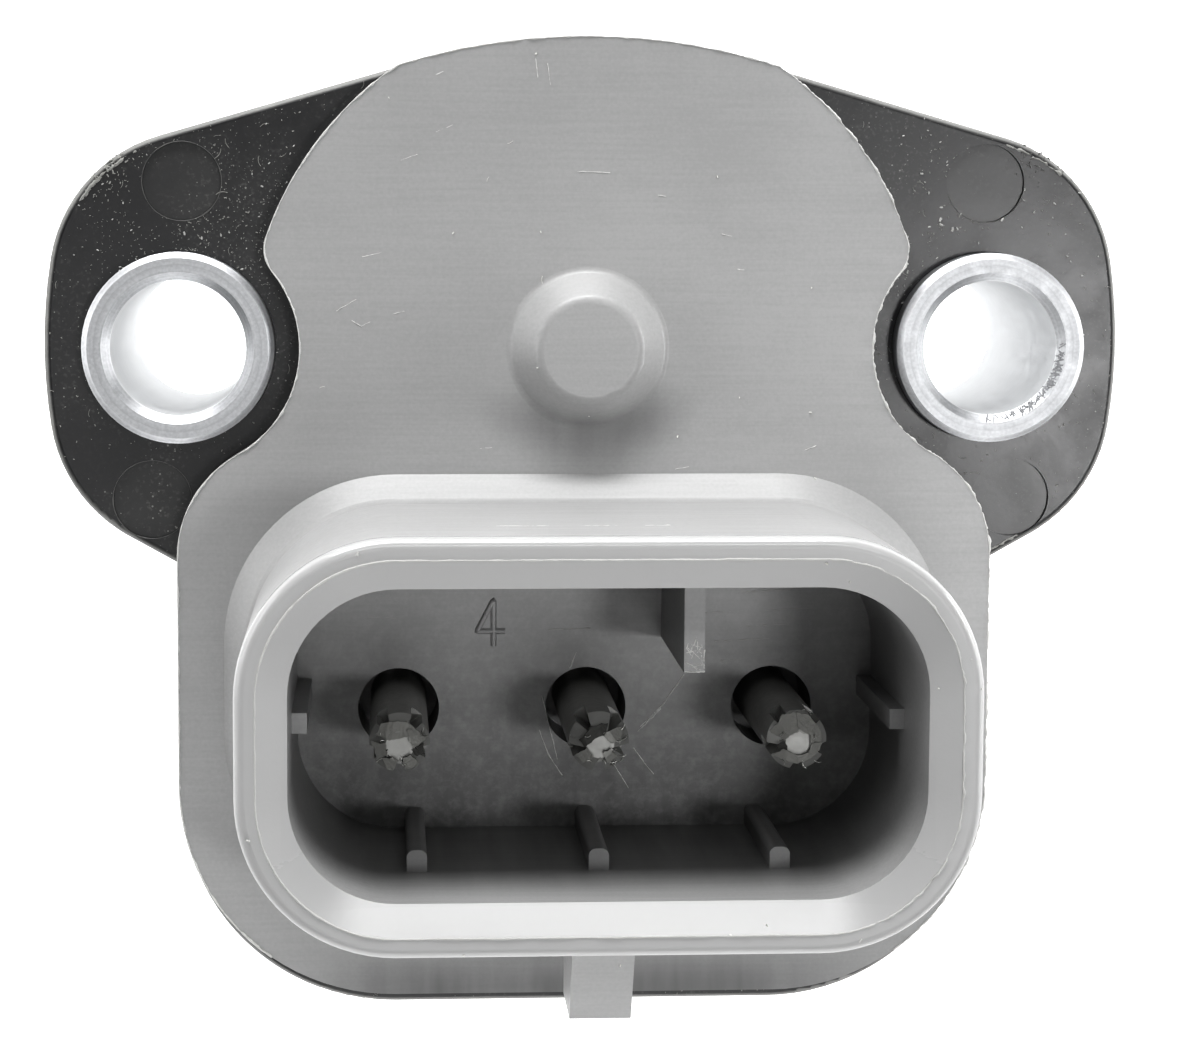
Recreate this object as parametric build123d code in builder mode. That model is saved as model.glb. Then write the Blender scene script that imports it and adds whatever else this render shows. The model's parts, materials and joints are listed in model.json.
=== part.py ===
from build123d import *
from math import cos, radians, sin, tan
import os

# Throttle position sensor, in millimetres.
# The mounting face is z = 0, and the rotor turns about the Z axis, which points to the connector.
# The two screw holes lie along X, and the connector is on the -Y side.

os.makedirs("parts", exist_ok=True)

# Mounting flange
hole_spacing = 35.0
screw_bore_d = 5.8
sleeve_d = 8.2
sleeve_proud = 1.0
sleeve_outer_chamfer = 0.25
sleeve_bore_chamfer = 0.35
base_height = 10.6
ear_margin = 5.8
ear_corner_r = 6.6
ear_lower_slope = 29.2
ear_root_drop = 9.45
roof_slope = 16.2
roof_wall = 3.2
roof_crest_r = 27.0
base_edge_r = 0.3
ejector_mark_d = 3.4
ejector_mark_depth = 0.12
ejector_mark_upper = (-0.15, 7.1)
ejector_mark_lower = (1.2, -6.6)

# Cover plate and the boss over the rotor pivot
plate_thick = 1.1
screw_relief_r = 5.2
rim_overlap = 1.7
dome_wall = 3.9
shoulder_r = 5.1
relief_corner_r = 1.5
body_corner_r = 9.3
side_margin = 3.05
bottom_margin = 5.3
base_ledge = 0.75
boss_base_d = 6.7
boss_top_d = 4.4
boss_rise = 1.3
boss_edge_r = 0.5
boss_root_r = 0.35

# Connector shroud
connector_drop = 14.7
mouth_width = 24.9
mouth_height = 12.3
mouth_corner_r = 4.2
shroud_wall = 2.05
shroud_rise = 11.2
floor_sink = 0.2
lead_in_width = 1.2
lead_in_depth = 0.63
shroud_root = 1.1
shroud_root_blend = 0.6
rim_edge_r = 0.45
rib_thick = 0.83
rib_reach = 6.6
rib_root = 0.3
rib_crest_r = 0.3
bottom_ribs = 3
bottom_rib_pitch = 7.4
bottom_rib_height = 0.9
side_rib_height = 0.62
key_rib_x = 3.7
key_rib_height = 4.0
key_rib_reach = 7.5
lug_width = 2.5
lug_stand = 3.8
lug_setback = 2.3
lug_ramp = 1.6
lug_length = 4.6

# Terminals
pin_d = 2.45
pin_pitch = 8.1
pin_drop = 0.9
pin_reach = 6.8
nose_length = 0.6
nose_d = 1.15
nose_notches = 5
nose_notch_width = 0.95
nose_notch_root = 0.1
nose_notch_depth = 2.0
pin_recess_d = 3.5
pin_recess_depth = 3.0
lead_thick = 0.5
lead_width = 1.8
lead_cover = 0.9
foot_length = 2.5
riser_cover = 0.45

# Header behind the shroud floor, and the well in the base that holds it
header_margin = 3.5
header_corner_r = 0.8
well_gap = 0.5
back_web = 1.8
pocket_rib = 1.6
pocket_wall = 2.2
pocket_corner_r = 1.0
pocket_columns = 3

# Rotor chamber
back_wall = 2.3
pilot_r = 8.0
pilot_depth = 1.0
hub_r = 5.0
running_clear = 0.05
collar_wall = 1.1
collar_gap = 0.6
lip_gap = 0.1
lip_wall = 0.8
lip_depth = 1.5
ledge_width = 0.8

# Rotor and its drive socket
hub_recess = 0.2
socket_r = 3.1
socket_lead = 0.3
socket_mouth = 1.2
socket_depth = 4.4
socket_flat = 1.9
disc_thick = 1.8
disc_gap = 2.0
lug_gap = 0.7
lug_angle = 18.0
stop_angle = 14.0
stop_clear_angle = 0.5
stop_bite = 0.8
travel = 105.0
neck_r = 2.6
pivot_r = 1.5
pivot_tip_gap = 0.2
pivot_roof = 0.8
pivot_collar_wall = 1.6
pivot_collar_depth = 1.0
stake_d = 1.2
stake_rise = 0.6
stake_head_d = 2.1

# Seal and thrust washer
seal_section = 1.0
groove_width = 1.3
fit_clear = 0.02
washer_thick = 0.3
washer_play = 0.08

# Return spring
spring_wire_d = 0.5
spring_gap = 0.15
spring_collar_gap = 0.9
leg_length = 2.4
leg_post_r = 0.4
leg_post_gap = 0.05
leg_post_back = 1.4
coil_spread = 1.3

# Board and wiper
board_standoff = 0.6
board_thick = 0.8
board_gap = 0.1
print_thick = 0.08
track_width = 1.7
track_inset = 1.6
track_step = 2.4
track_overrun = 14.0
print_width = 0.9
tail_margin = 2.0
pad_width = 2.6
print_turn = 47.0
board_stake_x = 3.4
board_stake_y = 9.2
board_hole_gap = 0.3
rivet_d = 1.2
rivet_head_d = 2.0
rivet_head = 0.35
wiper_thick = 0.2
wiper_rise = 2.1
contact_gap = 0.05
finger_width = 0.55
finger_step = 0.8
finger_tip = 0.8
finger_angle = 40.0
finger_root = 0.6
wiper_span = 24.0

# Heights worked out from the mounting face
cover_face = base_height + plate_thick
hub_face = pilot_depth + hub_recess
rim_z = cover_face + shroud_rise
floor_z = cover_face - floor_sink
sleeve_length = base_height + sleeve_proud
recess_floor = floor_z - pin_recess_depth
lead_z = recess_floor - lead_cover - lead_thick
header_bottom = lead_z - lead_cover
well_floor = header_bottom - well_gap
board_top = base_height - board_standoff
board_bottom = board_top - board_thick
track_face = board_bottom - print_thick
foot_z = track_face - lead_thick
disc_top = track_face - wiper_rise
disc_bottom = disc_top - disc_thick
collar_top = disc_bottom - collar_gap
pivot_collar_bottom = base_height - pivot_collar_depth
neck_top = pivot_collar_bottom - washer_play - washer_thick
pivot_bore_top = cover_face + boss_rise - pivot_roof
pivot_top = pivot_bore_top - pivot_tip_gap
seal_z = (pilot_depth + collar_top) / 2
coil_bottom = back_wall + spring_gap + spring_wire_d / 2
coil_top = disc_bottom - spring_gap - spring_wire_d / 2
coil_turns = int((coil_top - coil_bottom) / (coil_spread * spring_wire_d)) + 0.5
finger_top = track_face - contact_gap

# Plan positions worked out from the rotor axis
hole_x = hole_spacing / 2
sleeve_r = sleeve_d / 2
ear_r = hole_x + ear_margin
chamber_r = hole_x - screw_relief_r - rim_overlap
dome_r = chamber_r + dome_wall
roof_r = chamber_r + roof_wall
roof_apex = roof_r / cos(radians(roof_slope))
plan_reach = 2 * ear_r
shroud_width = mouth_width + 2 * shroud_wall
shroud_height = mouth_height + 2 * shroud_wall
shroud_corner_r = mouth_corner_r + shroud_wall
shroud_y = -connector_drop
shroud_top = shroud_y + shroud_height / 2
shroud_bottom = shroud_y - shroud_height / 2
body_width = shroud_width + 2 * side_margin
body_bottom = shroud_bottom - bottom_margin
base_bottom = body_bottom - base_ledge
pin_y = shroud_y - pin_drop
pin_xs = (-pin_pitch, 0, pin_pitch)
pin_r = pin_d / 2
header_width = 2 * (pin_pitch + header_margin)
header_top = pin_y + header_margin
header_back = pin_y - header_margin
well_width = header_width + 2 * well_gap
well_bottom = header_back - well_gap
bearing_r = hub_r + running_clear
collar_r = bearing_r + collar_wall
spring_r = collar_r + spring_collar_gap + spring_wire_d / 2
leg_post_x = spring_r + spring_wire_d / 2 + leg_post_gap + leg_post_r
rotor_lug_r = chamber_r - lug_gap
disc_r = chamber_r - disc_gap
stop_r = rotor_lug_r - stop_bite
pivot_bore_r = pivot_r + running_clear
pivot_collar_r = pivot_bore_r + pivot_collar_wall
seal_groove_r = hub_r - seal_section - fit_clear
lip_inner = lip_gap + lip_wall
board_r = chamber_r - lip_inner - board_gap
board_hole_r = pivot_collar_r + board_hole_gap
well_top = shroud_top + well_gap
tail_width = 2 * (pin_pitch + tail_margin)
tail_top = well_top - lip_inner - board_gap
tail_bottom = header_top + board_gap
outer_track_r = board_r - track_inset
inner_track_r = outer_track_r - track_step
foot_end = header_top + foot_length
riser_y = header_top - riser_cover - lead_thick
rivet_y = header_top + foot_length / 2
rest_angle = 90 - travel / 2
rotor_plane = Plane.XY.rotated((0, 0, rest_angle - 90))
wiper_start = 90 + finger_angle
wiper_stake_r = (outer_track_r + inner_track_r) / 2
wiper_stake_start = wiper_start + wiper_span / 4
print_x = outer_track_r * sin(radians(print_turn))
print_y = -outer_track_r * cos(radians(print_turn))
pocket_y = base_bottom + pocket_wall


# Plan of the hollow in the base: a round chamber that opens into the well for the header.
def cavity_plan(inset):
    height = well_top - well_bottom - 2 * inset
    with BuildSketch() as plan:
        Circle(chamber_r - inset)
        with Locations((0, (well_top + well_bottom) / 2)):
            Rectangle(well_width - 2 * inset, height)
    return plan.sketch


# Plan of a piece of a ring about the rotor axis.
def ring_piece(inner, outer, start, angle):
    with BuildSketch() as plan:
        with BuildLine():
            near = CenterArc((0, 0), inner, start, angle)
            far = CenterArc((0, 0), outer, start, angle)
            Line(near @ 0, far @ 0)
            Line(near @ 1, far @ 1)
        make_face()
    return plan.sketch


# Plan below the two roof slopes, which meet in a wide arc above the rotor axis.
with BuildSketch() as roof_plan:
    eaves_y = roof_apex - plan_reach * tan(radians(roof_slope))
    with BuildLine():
        Polyline(
            (-plan_reach, eaves_y),
            (0, roof_apex),
            (plan_reach, eaves_y),
            (plan_reach, -plan_reach),
            (-plan_reach, -plan_reach),
            close=True,
        )
    make_face()
    fillet(roof_plan.vertices().sort_by(Axis.Y)[-1], roof_crest_r)

# Plan of the base below its ears, which reaches a little past the cover.
with BuildSketch() as body_plan:
    with Locations((0, base_bottom / 2)):
        Rectangle(body_width, -base_bottom)
    fillet(body_plan.vertices().group_by(Axis.Y)[0], body_corner_r)

# Plan of the base: ears on an arc about the rotor axis, cut by the roof and by the lower slopes.
with BuildSketch() as base_plan:
    lower_rise = tan(radians(ear_lower_slope))
    lower_apex = -ear_root_drop - lower_rise * body_width / 2
    Circle(ear_r)
    add(roof_plan.sketch, mode=Mode.INTERSECT)
    with BuildLine():
        Polyline(
            (-plan_reach, lower_apex + lower_rise * plan_reach),
            (0, lower_apex),
            (plan_reach, lower_apex + lower_rise * plan_reach),
            (plan_reach, plan_reach),
            (-plan_reach, plan_reach),
            close=True,
        )
    make_face(mode=Mode.INTERSECT)
    ear_corners = base_plan.vertices().filter_by(lambda v: abs(v.X) > hole_x)
    fillet(ear_corners, ear_corner_r)
    add(body_plan.sketch)

# Plan of the cover: a dome about the rotor axis and the body, relieved round each sleeve.
with BuildSketch() as cover_plan:
    Circle(dome_r)
    with Locations((0, body_bottom / 2)):
        Rectangle(body_width, -body_bottom)
    with Locations((-hole_x, 0), (hole_x, 0)):
        Circle(screw_relief_r, mode=Mode.SUBTRACT)
    add(roof_plan.sketch, mode=Mode.INTERSECT)
    fillet(cover_plan.vertices().group_by(Axis.Y)[0], body_corner_r)
    sides = cover_plan.vertices().filter_by(lambda v: abs(v.X) > body_width / 2 - fit_clear)
    shoulders = sides.filter_by(lambda v: v.Y > shroud_y)
    fillet(shoulders, shoulder_r)
    kinks = cover_plan.vertices().filter_by(lambda v: 0 < v.Y < screw_relief_r)
    fillet(kinks, relief_corner_r)

# Base housing: a moulded tray with a bearing for the rotor, stops, and cored pockets in its back.
with BuildPart() as base_housing:
    with BuildSketch():
        add(base_plan.sketch)
    extrude(amount=base_height)
    fillet(base_housing.edges().group_by(Axis.Z)[-1], base_edge_r)
    with BuildSketch(Plane.XY.offset(back_wall)):
        Circle(chamber_r)
    extrude(amount=base_height, mode=Mode.SUBTRACT)
    with BuildSketch(Plane.XY.offset(well_floor)):
        add(cavity_plan(0))
    extrude(amount=base_height, mode=Mode.SUBTRACT)
    with BuildSketch():
        Circle(collar_r)
    extrude(amount=collar_top)
    with BuildSketch():
        Circle(bearing_r)
    extrude(amount=base_height, mode=Mode.SUBTRACT)
    with BuildSketch():
        Circle(pilot_r)
    extrude(amount=pilot_depth, mode=Mode.SUBTRACT)
    with BuildSketch(Plane.XY.offset(back_wall)):
        low_stop = rest_angle - lug_angle / 2 - stop_clear_angle - stop_angle
        high_stop = rest_angle + travel + lug_angle / 2 + stop_clear_angle
        add(ring_piece(stop_r, chamber_r + lip_wall, low_stop, stop_angle))
        add(ring_piece(stop_r, chamber_r + lip_wall, high_stop, stop_angle))
    extrude(amount=disc_top - back_wall)
    with BuildSketch():
        with Locations((-hole_x, 0), (hole_x, 0)):
            Circle(sleeve_r + fit_clear)
    extrude(amount=base_height, mode=Mode.SUBTRACT)
    with BuildSketch(Plane.XY.offset(base_height - ejector_mark_depth)):
        for offset_x, mark_y in (ejector_mark_upper, ejector_mark_lower):
            with Locations((hole_x + offset_x, mark_y), (-hole_x - offset_x, mark_y)):
                Circle(ejector_mark_d / 2)
    extrude(amount=base_height, mode=Mode.SUBTRACT)
    with BuildSketch(Plane.XY.offset(back_wall)):
        with Locations((leg_post_x, -leg_post_back)):
            Circle(leg_post_r)
    extrude(amount=spring_gap + spring_wire_d)
    pocket_pitch = (body_width - 2 * pocket_wall + pocket_rib) / pocket_columns
    upper_row = (well_bottom, -chamber_r - pocket_wall, well_floor - back_web)
    lower_row = (pocket_y, well_bottom - pocket_rib, base_height - back_web)
    for row_bottom, row_top, depth in (upper_row, lower_row):
        with BuildSketch():
            with Locations((0, (row_bottom + row_top) / 2)):
                with GridLocations(pocket_pitch, 0, pocket_columns, 1):
                    RectangleRounded(pocket_pitch - pocket_rib, row_top - row_bottom, pocket_corner_r)
            with Locations((0, pocket_y)):
                RectangleRounded(
                    body_width - 2 * pocket_wall,
                    -pocket_y,
                    body_corner_r - pocket_wall,
                    align=(Align.CENTER, Align.MIN),
                    mode=Mode.INTERSECT,
                )
        extrude(amount=depth, mode=Mode.SUBTRACT)
base_housing.part.label = "base_housing"
export_step(base_housing.part, "parts/base_housing.step")

# Compression sleeves: turned tubes that carry the screw load past the plastic.
for name, x in (("left_sleeve", -hole_x), ("right_sleeve", hole_x)):
    with BuildPart() as sleeve:
        with BuildSketch():
            with Locations((x, 0)):
                Circle(sleeve_r)
                Circle(screw_bore_d / 2, mode=Mode.SUBTRACT)
        extrude(amount=sleeve_length)
        rims = sleeve.edges().filter_by(GeomType.CIRCLE)
        chamfer(rims.filter_by(lambda e: e.radius > sleeve_r - fit_clear), sleeve_outer_chamfer)
        chamfer(rims.filter_by(lambda e: e.radius < sleeve_r - fit_clear), sleeve_bore_chamfer)
    sleeve.part.label = name
    export_step(sleeve.part, f"parts/{name}.step")

# Terminals: a round pin with a notched, tapered nose, and a flat lead that is bent up to the board.
terminals = []
for name, x in zip(("left_terminal", "centre_terminal", "right_terminal"), pin_xs):
    tip_z = floor_z + pin_reach
    with BuildPart() as terminal:
        with BuildSketch(Plane((x, pin_y, 0), x_dir=(1, 0, 0), z_dir=(0, -1, 0))):
            with BuildLine():
                Polyline(
                    (0, lead_z),
                    (pin_r, lead_z),
                    (pin_r, tip_z - nose_length),
                    (nose_d / 2, tip_z),
                    (0, tip_z),
                    close=True,
                )
            make_face()
        revolve(axis=Axis((x, pin_y, 0), (0, 0, 1)))
        with BuildSketch(Plane((x, pin_y, tip_z - nose_notch_depth))):
            with PolarLocations(nose_d / 2 - nose_notch_root, nose_notches, start_angle=-90):
                Polygon((0, 0), (pin_r, nose_notch_width / 2), (pin_r, -nose_notch_width / 2), align=None)
        extrude(amount=nose_notch_depth, mode=Mode.SUBTRACT)
        with BuildSketch(Plane((x, 0, 0), x_dir=(0, 1, 0), z_dir=(1, 0, 0))):
            with BuildLine():
                Polyline(
                    (pin_y, lead_z),
                    (riser_y + lead_thick, lead_z),
                    (riser_y + lead_thick, foot_z),
                    (foot_end, foot_z),
                    (foot_end, foot_z + lead_thick),
                    (riser_y, foot_z + lead_thick),
                    (riser_y, lead_z + lead_thick),
                    (pin_y, lead_z + lead_thick),
                    close=True,
                )
            make_face()
        extrude(amount=lead_width / 2, both=True)
        with BuildSketch(Plane.XY.offset(foot_z)):
            with Locations((x, rivet_y)):
                Circle(rivet_d / 2 + fit_clear)
        extrude(amount=lead_thick, mode=Mode.SUBTRACT)
    terminal.part.label = name
    export_step(terminal.part, f"parts/{name}.step")
    terminals.append(terminal.part)

# Connector cover: plate, boss, shroud with its ribs and lock lug, and the header round the terminals.
with BuildPart() as connector_cover:
    with BuildSketch(Plane.XY.offset(base_height)):
        add(cover_plan.sketch)
    extrude(amount=plate_thick)
    with BuildSketch(Plane.XY.offset(cover_face)):
        with Locations((0, shroud_y)):
            RectangleRounded(shroud_width, shroud_height, shroud_corner_r)
    extrude(amount=shroud_rise)
    walls = connector_cover.faces().filter_by(lambda f: f.center().Z > cover_face + shroud_rise / 3)
    chamfer(walls.edges().group_by(Axis.Z)[0], shroud_root)
    root_z = cover_face + shroud_root
    root_edges = connector_cover.edges().filter_by(lambda e: abs(e.center().Z - root_z) < fit_clear)
    fillet(root_edges, shroud_root_blend)
    fillet(connector_cover.edges().group_by(Axis.Z)[-1], rim_edge_r)
    with BuildSketch(Plane.XY.offset(cover_face)):
        Circle(boss_base_d / 2)
    with BuildSketch(Plane.XY.offset(cover_face + boss_rise)):
        Circle(boss_top_d / 2)
    loft()
    boss_rim = connector_cover.edges().filter_by(GeomType.CIRCLE)
    fillet(boss_rim.filter_by(lambda e: abs(e.radius - boss_top_d / 2) < fit_clear), boss_edge_r)
    fillet(boss_rim.filter_by(lambda e: abs(e.radius - boss_base_d / 2) < fit_clear), boss_root_r)
    # Header, and the lip that locates the cover in the base
    with BuildSketch(Plane.XY.offset(header_bottom)):
        with Locations((0, pin_y)):
            RectangleRounded(header_width, 2 * header_margin, header_corner_r)
    extrude(amount=base_height - header_bottom)
    with BuildSketch(Plane.XY.offset(base_height - lip_depth)):
        add(cavity_plan(lip_gap))
        add(cavity_plan(lip_inner), mode=Mode.SUBTRACT)
    extrude(amount=lip_depth)
    with BuildSketch(Plane.XY.offset(board_top)):
        add(cavity_plan(lip_gap))
        add(cavity_plan(lip_inner + ledge_width), mode=Mode.SUBTRACT)
    extrude(amount=board_standoff)
    # Mouth with its lead-in, and the ribs that key the plug
    with BuildSketch(Plane.XY.offset(floor_z)):
        with Locations((0, shroud_y)):
            RectangleRounded(mouth_width, mouth_height, mouth_corner_r)
    extrude(amount=rim_z - floor_z, mode=Mode.SUBTRACT)
    with BuildSketch(Plane.XY.offset(rim_z - lead_in_depth)):
        with Locations((0, shroud_y)):
            RectangleRounded(mouth_width, mouth_height, mouth_corner_r)
    with BuildSketch(Plane.XY.offset(rim_z)):
        with Locations((0, shroud_y)):
            RectangleRounded(
                mouth_width + 2 * lead_in_width,
                mouth_height + 2 * lead_in_width,
                mouth_corner_r + lead_in_width,
            )
    loft(ruled=True, mode=Mode.SUBTRACT)
    with BuildSketch(Plane.XY.offset(floor_z)):
        with Locations((0, shroud_y - mouth_height / 2 - rib_root)):
            with GridLocations(bottom_rib_pitch, 0, bottom_ribs, 1):
                ribs = Rectangle(rib_thick, bottom_rib_height + rib_root, align=(Align.CENTER, Align.MIN))
        fillet(ribs.vertices().group_by(Axis.Y)[-1], rib_crest_r)
    extrude(amount=rib_reach)
    with BuildSketch(Plane.XY.offset(floor_z)):
        with Locations((-mouth_width / 2 - rib_root, shroud_y)):
            Rectangle(side_rib_height + rib_root, rib_thick, align=(Align.MIN, Align.CENTER))
        with Locations((mouth_width / 2 + rib_root, shroud_y)):
            Rectangle(side_rib_height + rib_root, rib_thick, align=(Align.MAX, Align.CENTER))
    extrude(amount=rib_reach)
    with BuildSketch(Plane.XY.offset(floor_z)):
        with Locations((key_rib_x, shroud_y + mouth_height / 2 + rib_root)):
            Rectangle(rib_thick, key_rib_height + rib_root, align=(Align.CENTER, Align.MAX))
    extrude(amount=key_rib_reach)
    # Lock lug on the lower outer wall, with a ramp for the plug's latch
    with BuildSketch(Plane.YZ):
        with BuildLine():
            Polyline(
                (shroud_bottom + rib_root, rim_z - lug_setback),
                (shroud_bottom, rim_z - lug_setback),
                (shroud_bottom - lug_stand, rim_z - lug_setback - lug_ramp),
                (shroud_bottom - lug_stand, rim_z - lug_setback - lug_length),
                (shroud_bottom + rib_root, rim_z - lug_setback - lug_length),
                close=True,
            )
        make_face()
    extrude(amount=lug_width / 2, both=True)
    # Recesses round the pins
    with BuildSketch(Plane.XY.offset(recess_floor)):
        with Locations([(x, pin_y) for x in pin_xs]):
            Circle(pin_recess_d / 2)
    extrude(amount=pin_recess_depth, mode=Mode.SUBTRACT)
    # Pivot collar and blind bore under the boss
    with BuildSketch(Plane.XY.offset(pivot_collar_bottom)):
        Circle(pivot_collar_r)
    extrude(amount=pivot_collar_depth)
    with BuildSketch(Plane.XY.offset(pivot_collar_bottom)):
        Circle(pivot_bore_r)
    extrude(amount=pivot_bore_top - pivot_collar_bottom, mode=Mode.SUBTRACT)
    # Stakes that hold the board's tail: shoulder, shank and flattened head
    with BuildSketch(Plane.XY.offset(board_bottom)):
        with Locations((-board_stake_x, -board_stake_y), (board_stake_x, -board_stake_y)):
            Circle(stake_d / 2)
    extrude(amount=base_height - board_bottom)
    with BuildSketch(Plane.XY.offset(board_top)):
        with Locations((-board_stake_x, -board_stake_y), (board_stake_x, -board_stake_y)):
            Circle(stake_d)
    extrude(amount=board_standoff)
    with BuildSketch(Plane.XY.offset(board_bottom - stake_rise)):
        with Locations((-board_stake_x, -board_stake_y), (board_stake_x, -board_stake_y)):
            Circle(stake_head_d / 2)
    extrude(amount=stake_rise)
    for embedded in terminals:
        add(embedded, mode=Mode.SUBTRACT)
connector_cover.part.label = "connector_cover"
export_step(connector_cover.part, "parts/connector_cover.step")

# Track board: a flat board with raised resistor and collector prints on the face towards the rotor.
with BuildPart() as track_board:
    with BuildSketch(Plane.XY.offset(board_bottom)):
        Circle(board_r)
        with Locations((0, (tail_top + tail_bottom) / 2)):
            Rectangle(tail_width, tail_top - tail_bottom)
        Circle(board_hole_r, mode=Mode.SUBTRACT)
    extrude(amount=board_thick)
    with BuildSketch(Plane.XY.offset(track_face)):
        half_track = track_width / 2
        half_print = print_width / 2
        arc_start = rest_angle - track_overrun
        arc_end = 180 - arc_start
        turn_angle = 270 - print_turn
        for r in (outer_track_r, inner_track_r):
            add(ring_piece(r - half_track, r + half_track, arc_start, arc_end - arc_start))
        for start, end in ((arc_end, turn_angle), (arc_start, 180 - turn_angle)):
            add(ring_piece(outer_track_r - half_print, outer_track_r + half_print, start, end - start))
        add(ring_piece(inner_track_r - half_print, inner_track_r + half_print, arc_end, 270 - arc_end))
        with Locations((-print_x, tail_bottom), (print_x, tail_bottom)):
            Rectangle(print_width, print_y - tail_bottom, align=(Align.CENTER, Align.MIN))
        with Locations((0, tail_bottom)):
            Rectangle(print_width, -inner_track_r - tail_bottom, align=(Align.CENTER, Align.MIN))
            Rectangle(pad_width, foot_end - tail_bottom, align=(Align.CENTER, Align.MIN))
        pad_reach = pin_pitch + pad_width / 2 - print_x
        with Locations((print_x, tail_bottom)):
            Rectangle(pad_reach, foot_end - tail_bottom, align=(Align.MIN, Align.MIN))
        with Locations((-print_x, tail_bottom)):
            Rectangle(pad_reach, foot_end - tail_bottom, align=(Align.MAX, Align.MIN))
    extrude(amount=print_thick)
    with BuildSketch(Plane.XY.offset(track_face)):
        with Locations([(x, rivet_y) for x in pin_xs]):
            Circle(rivet_d / 2 + fit_clear)
        with Locations((-board_stake_x, -board_stake_y), (board_stake_x, -board_stake_y)):
            Circle(stake_d / 2 + fit_clear)
    extrude(amount=print_thick + board_thick, mode=Mode.SUBTRACT)
track_board.part.label = "track_board"
export_step(track_board.part, "parts/track_board.step")

# Rivets that join each lead's foot to its pad, with a flat head on both sides.
with BuildPart() as board_rivets:
    with BuildSketch(Plane.XY.offset(foot_z)):
        with Locations([(x, rivet_y) for x in pin_xs]):
            Circle(rivet_d / 2)
    extrude(amount=board_top - foot_z)
    for head_z in (foot_z - rivet_head, board_top):
        with BuildSketch(Plane.XY.offset(head_z)):
            with Locations([(x, rivet_y) for x in pin_xs]):
                Circle(rivet_head_d / 2)
        extrude(amount=rivet_head)
board_rivets.part.label = "board_rivets"
export_step(board_rivets.part, "parts/board_rivets.step")

# Rotor: hub with the drive socket and seal groove, disc with the stop lug, neck and front pivot.
with BuildPart() as rotor:
    with BuildSketch(Plane.XZ):
        with BuildLine():
            Polyline(
                (0, hub_face),
                (hub_r, hub_face),
                (hub_r, disc_bottom),
                (disc_r, disc_bottom),
                (disc_r, disc_top),
                (neck_r, disc_top),
                (neck_r, neck_top),
                (pivot_r, neck_top),
                (pivot_r, pivot_top),
                (0, pivot_top),
                close=True,
            )
        make_face()
        with Locations((hub_r, seal_z)):
            Rectangle(2 * (hub_r - seal_groove_r), groove_width, mode=Mode.SUBTRACT)
    revolve(axis=Axis.Z)
    with BuildSketch(Plane.XY.offset(disc_bottom)):
        lug_start = rest_angle - lug_angle / 2
        add(ring_piece(disc_r - lug_gap, rotor_lug_r, lug_start, lug_angle))
    extrude(amount=disc_thick)
    with BuildSketch(Plane.XY.offset(hub_face)):
        Circle(socket_r + socket_lead)
    extrude(amount=socket_mouth, mode=Mode.SUBTRACT)
    with BuildSketch(rotor_plane.offset(hub_face)):
        Circle(socket_r)
        Rectangle(2 * socket_r, 2 * socket_flat, mode=Mode.INTERSECT)
    extrude(amount=socket_depth, mode=Mode.SUBTRACT)
    with BuildSketch(Plane.XY.offset(disc_bottom - spring_gap - spring_wire_d)):
        with Locations((-leg_post_x, -leg_post_back)):
            Circle(leg_post_r)
    extrude(amount=spring_gap + spring_wire_d)
    with BuildSketch(rotor_plane.offset(disc_top)):
        with PolarLocations(wiper_stake_r, 2, wiper_stake_start, wiper_span):
            Circle(stake_d / 2)
    extrude(amount=stake_rise)
rotor.part.label = "rotor"
export_step(rotor.part, "parts/rotor.step")

# Wiper: a staked plate with two fingers for each track, which rise to the board.
with BuildPart() as wiper:
    with BuildSketch(rotor_plane.offset(disc_top)):
        plate_inner = inner_track_r - finger_step
        plate_outer = outer_track_r + finger_step
        add(ring_piece(plate_inner, plate_outer, wiper_start, wiper_span))
    extrude(amount=wiper_thick)
    chord_angle = radians(rest_angle + finger_angle / 2)
    chord = Vector(-sin(chord_angle), cos(chord_angle), 0)
    for track_r in (outer_track_r, inner_track_r):
        for finger_r in (track_r - finger_step / 2, track_r + finger_step / 2):
            length = 2 * finger_r * sin(radians(finger_angle / 2))
            tip = Vector(finger_r, 0, 0).rotate(Axis.Z, rest_angle)
            with BuildSketch(Plane(tip, x_dir=chord, z_dir=chord.cross(Vector(0, 0, 1)))):
                with BuildLine():
                    Polyline(
                        (-finger_tip / 2, finger_top - wiper_thick),
                        (finger_tip / 2, finger_top - wiper_thick),
                        (length, disc_top),
                        (length + finger_root, disc_top),
                        (length + finger_root, disc_top + wiper_thick),
                        (length, disc_top + wiper_thick),
                        (finger_tip / 2, finger_top),
                        (-finger_tip / 2, finger_top),
                        close=True,
                    )
                make_face()
            extrude(amount=finger_width / 2, both=True)
    with BuildSketch(rotor_plane.offset(disc_top)):
        with PolarLocations(wiper_stake_r, 2, wiper_stake_start, wiper_span):
            Circle(stake_d / 2 + fit_clear)
    extrude(amount=wiper_thick, mode=Mode.SUBTRACT)
wiper.part.label = "wiper"
export_step(wiper.part, "parts/wiper.step")

# Return spring: a torsion coil round the bearing collar, with a straight leg against each post.
with BuildPart() as return_spring:
    coil_height = coil_top - coil_bottom
    with BuildLine() as wire_path:
        coil = Helix(coil_height / coil_turns, coil_height, spring_r, center=(0, 0, coil_bottom))
        base_leg = Line(coil @ 0 - coil % 0 * leg_length, coil @ 0)
        Line(coil @ 1, coil @ 1 + coil % 1 * leg_length)
    with BuildSketch(Plane(base_leg @ 0, z_dir=base_leg % 0)):
        Circle(spring_wire_d / 2)
    sweep(path=wire_path.wires()[0])
return_spring.part.label = "return_spring"
export_step(return_spring.part, "parts/return_spring.step")

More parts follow.
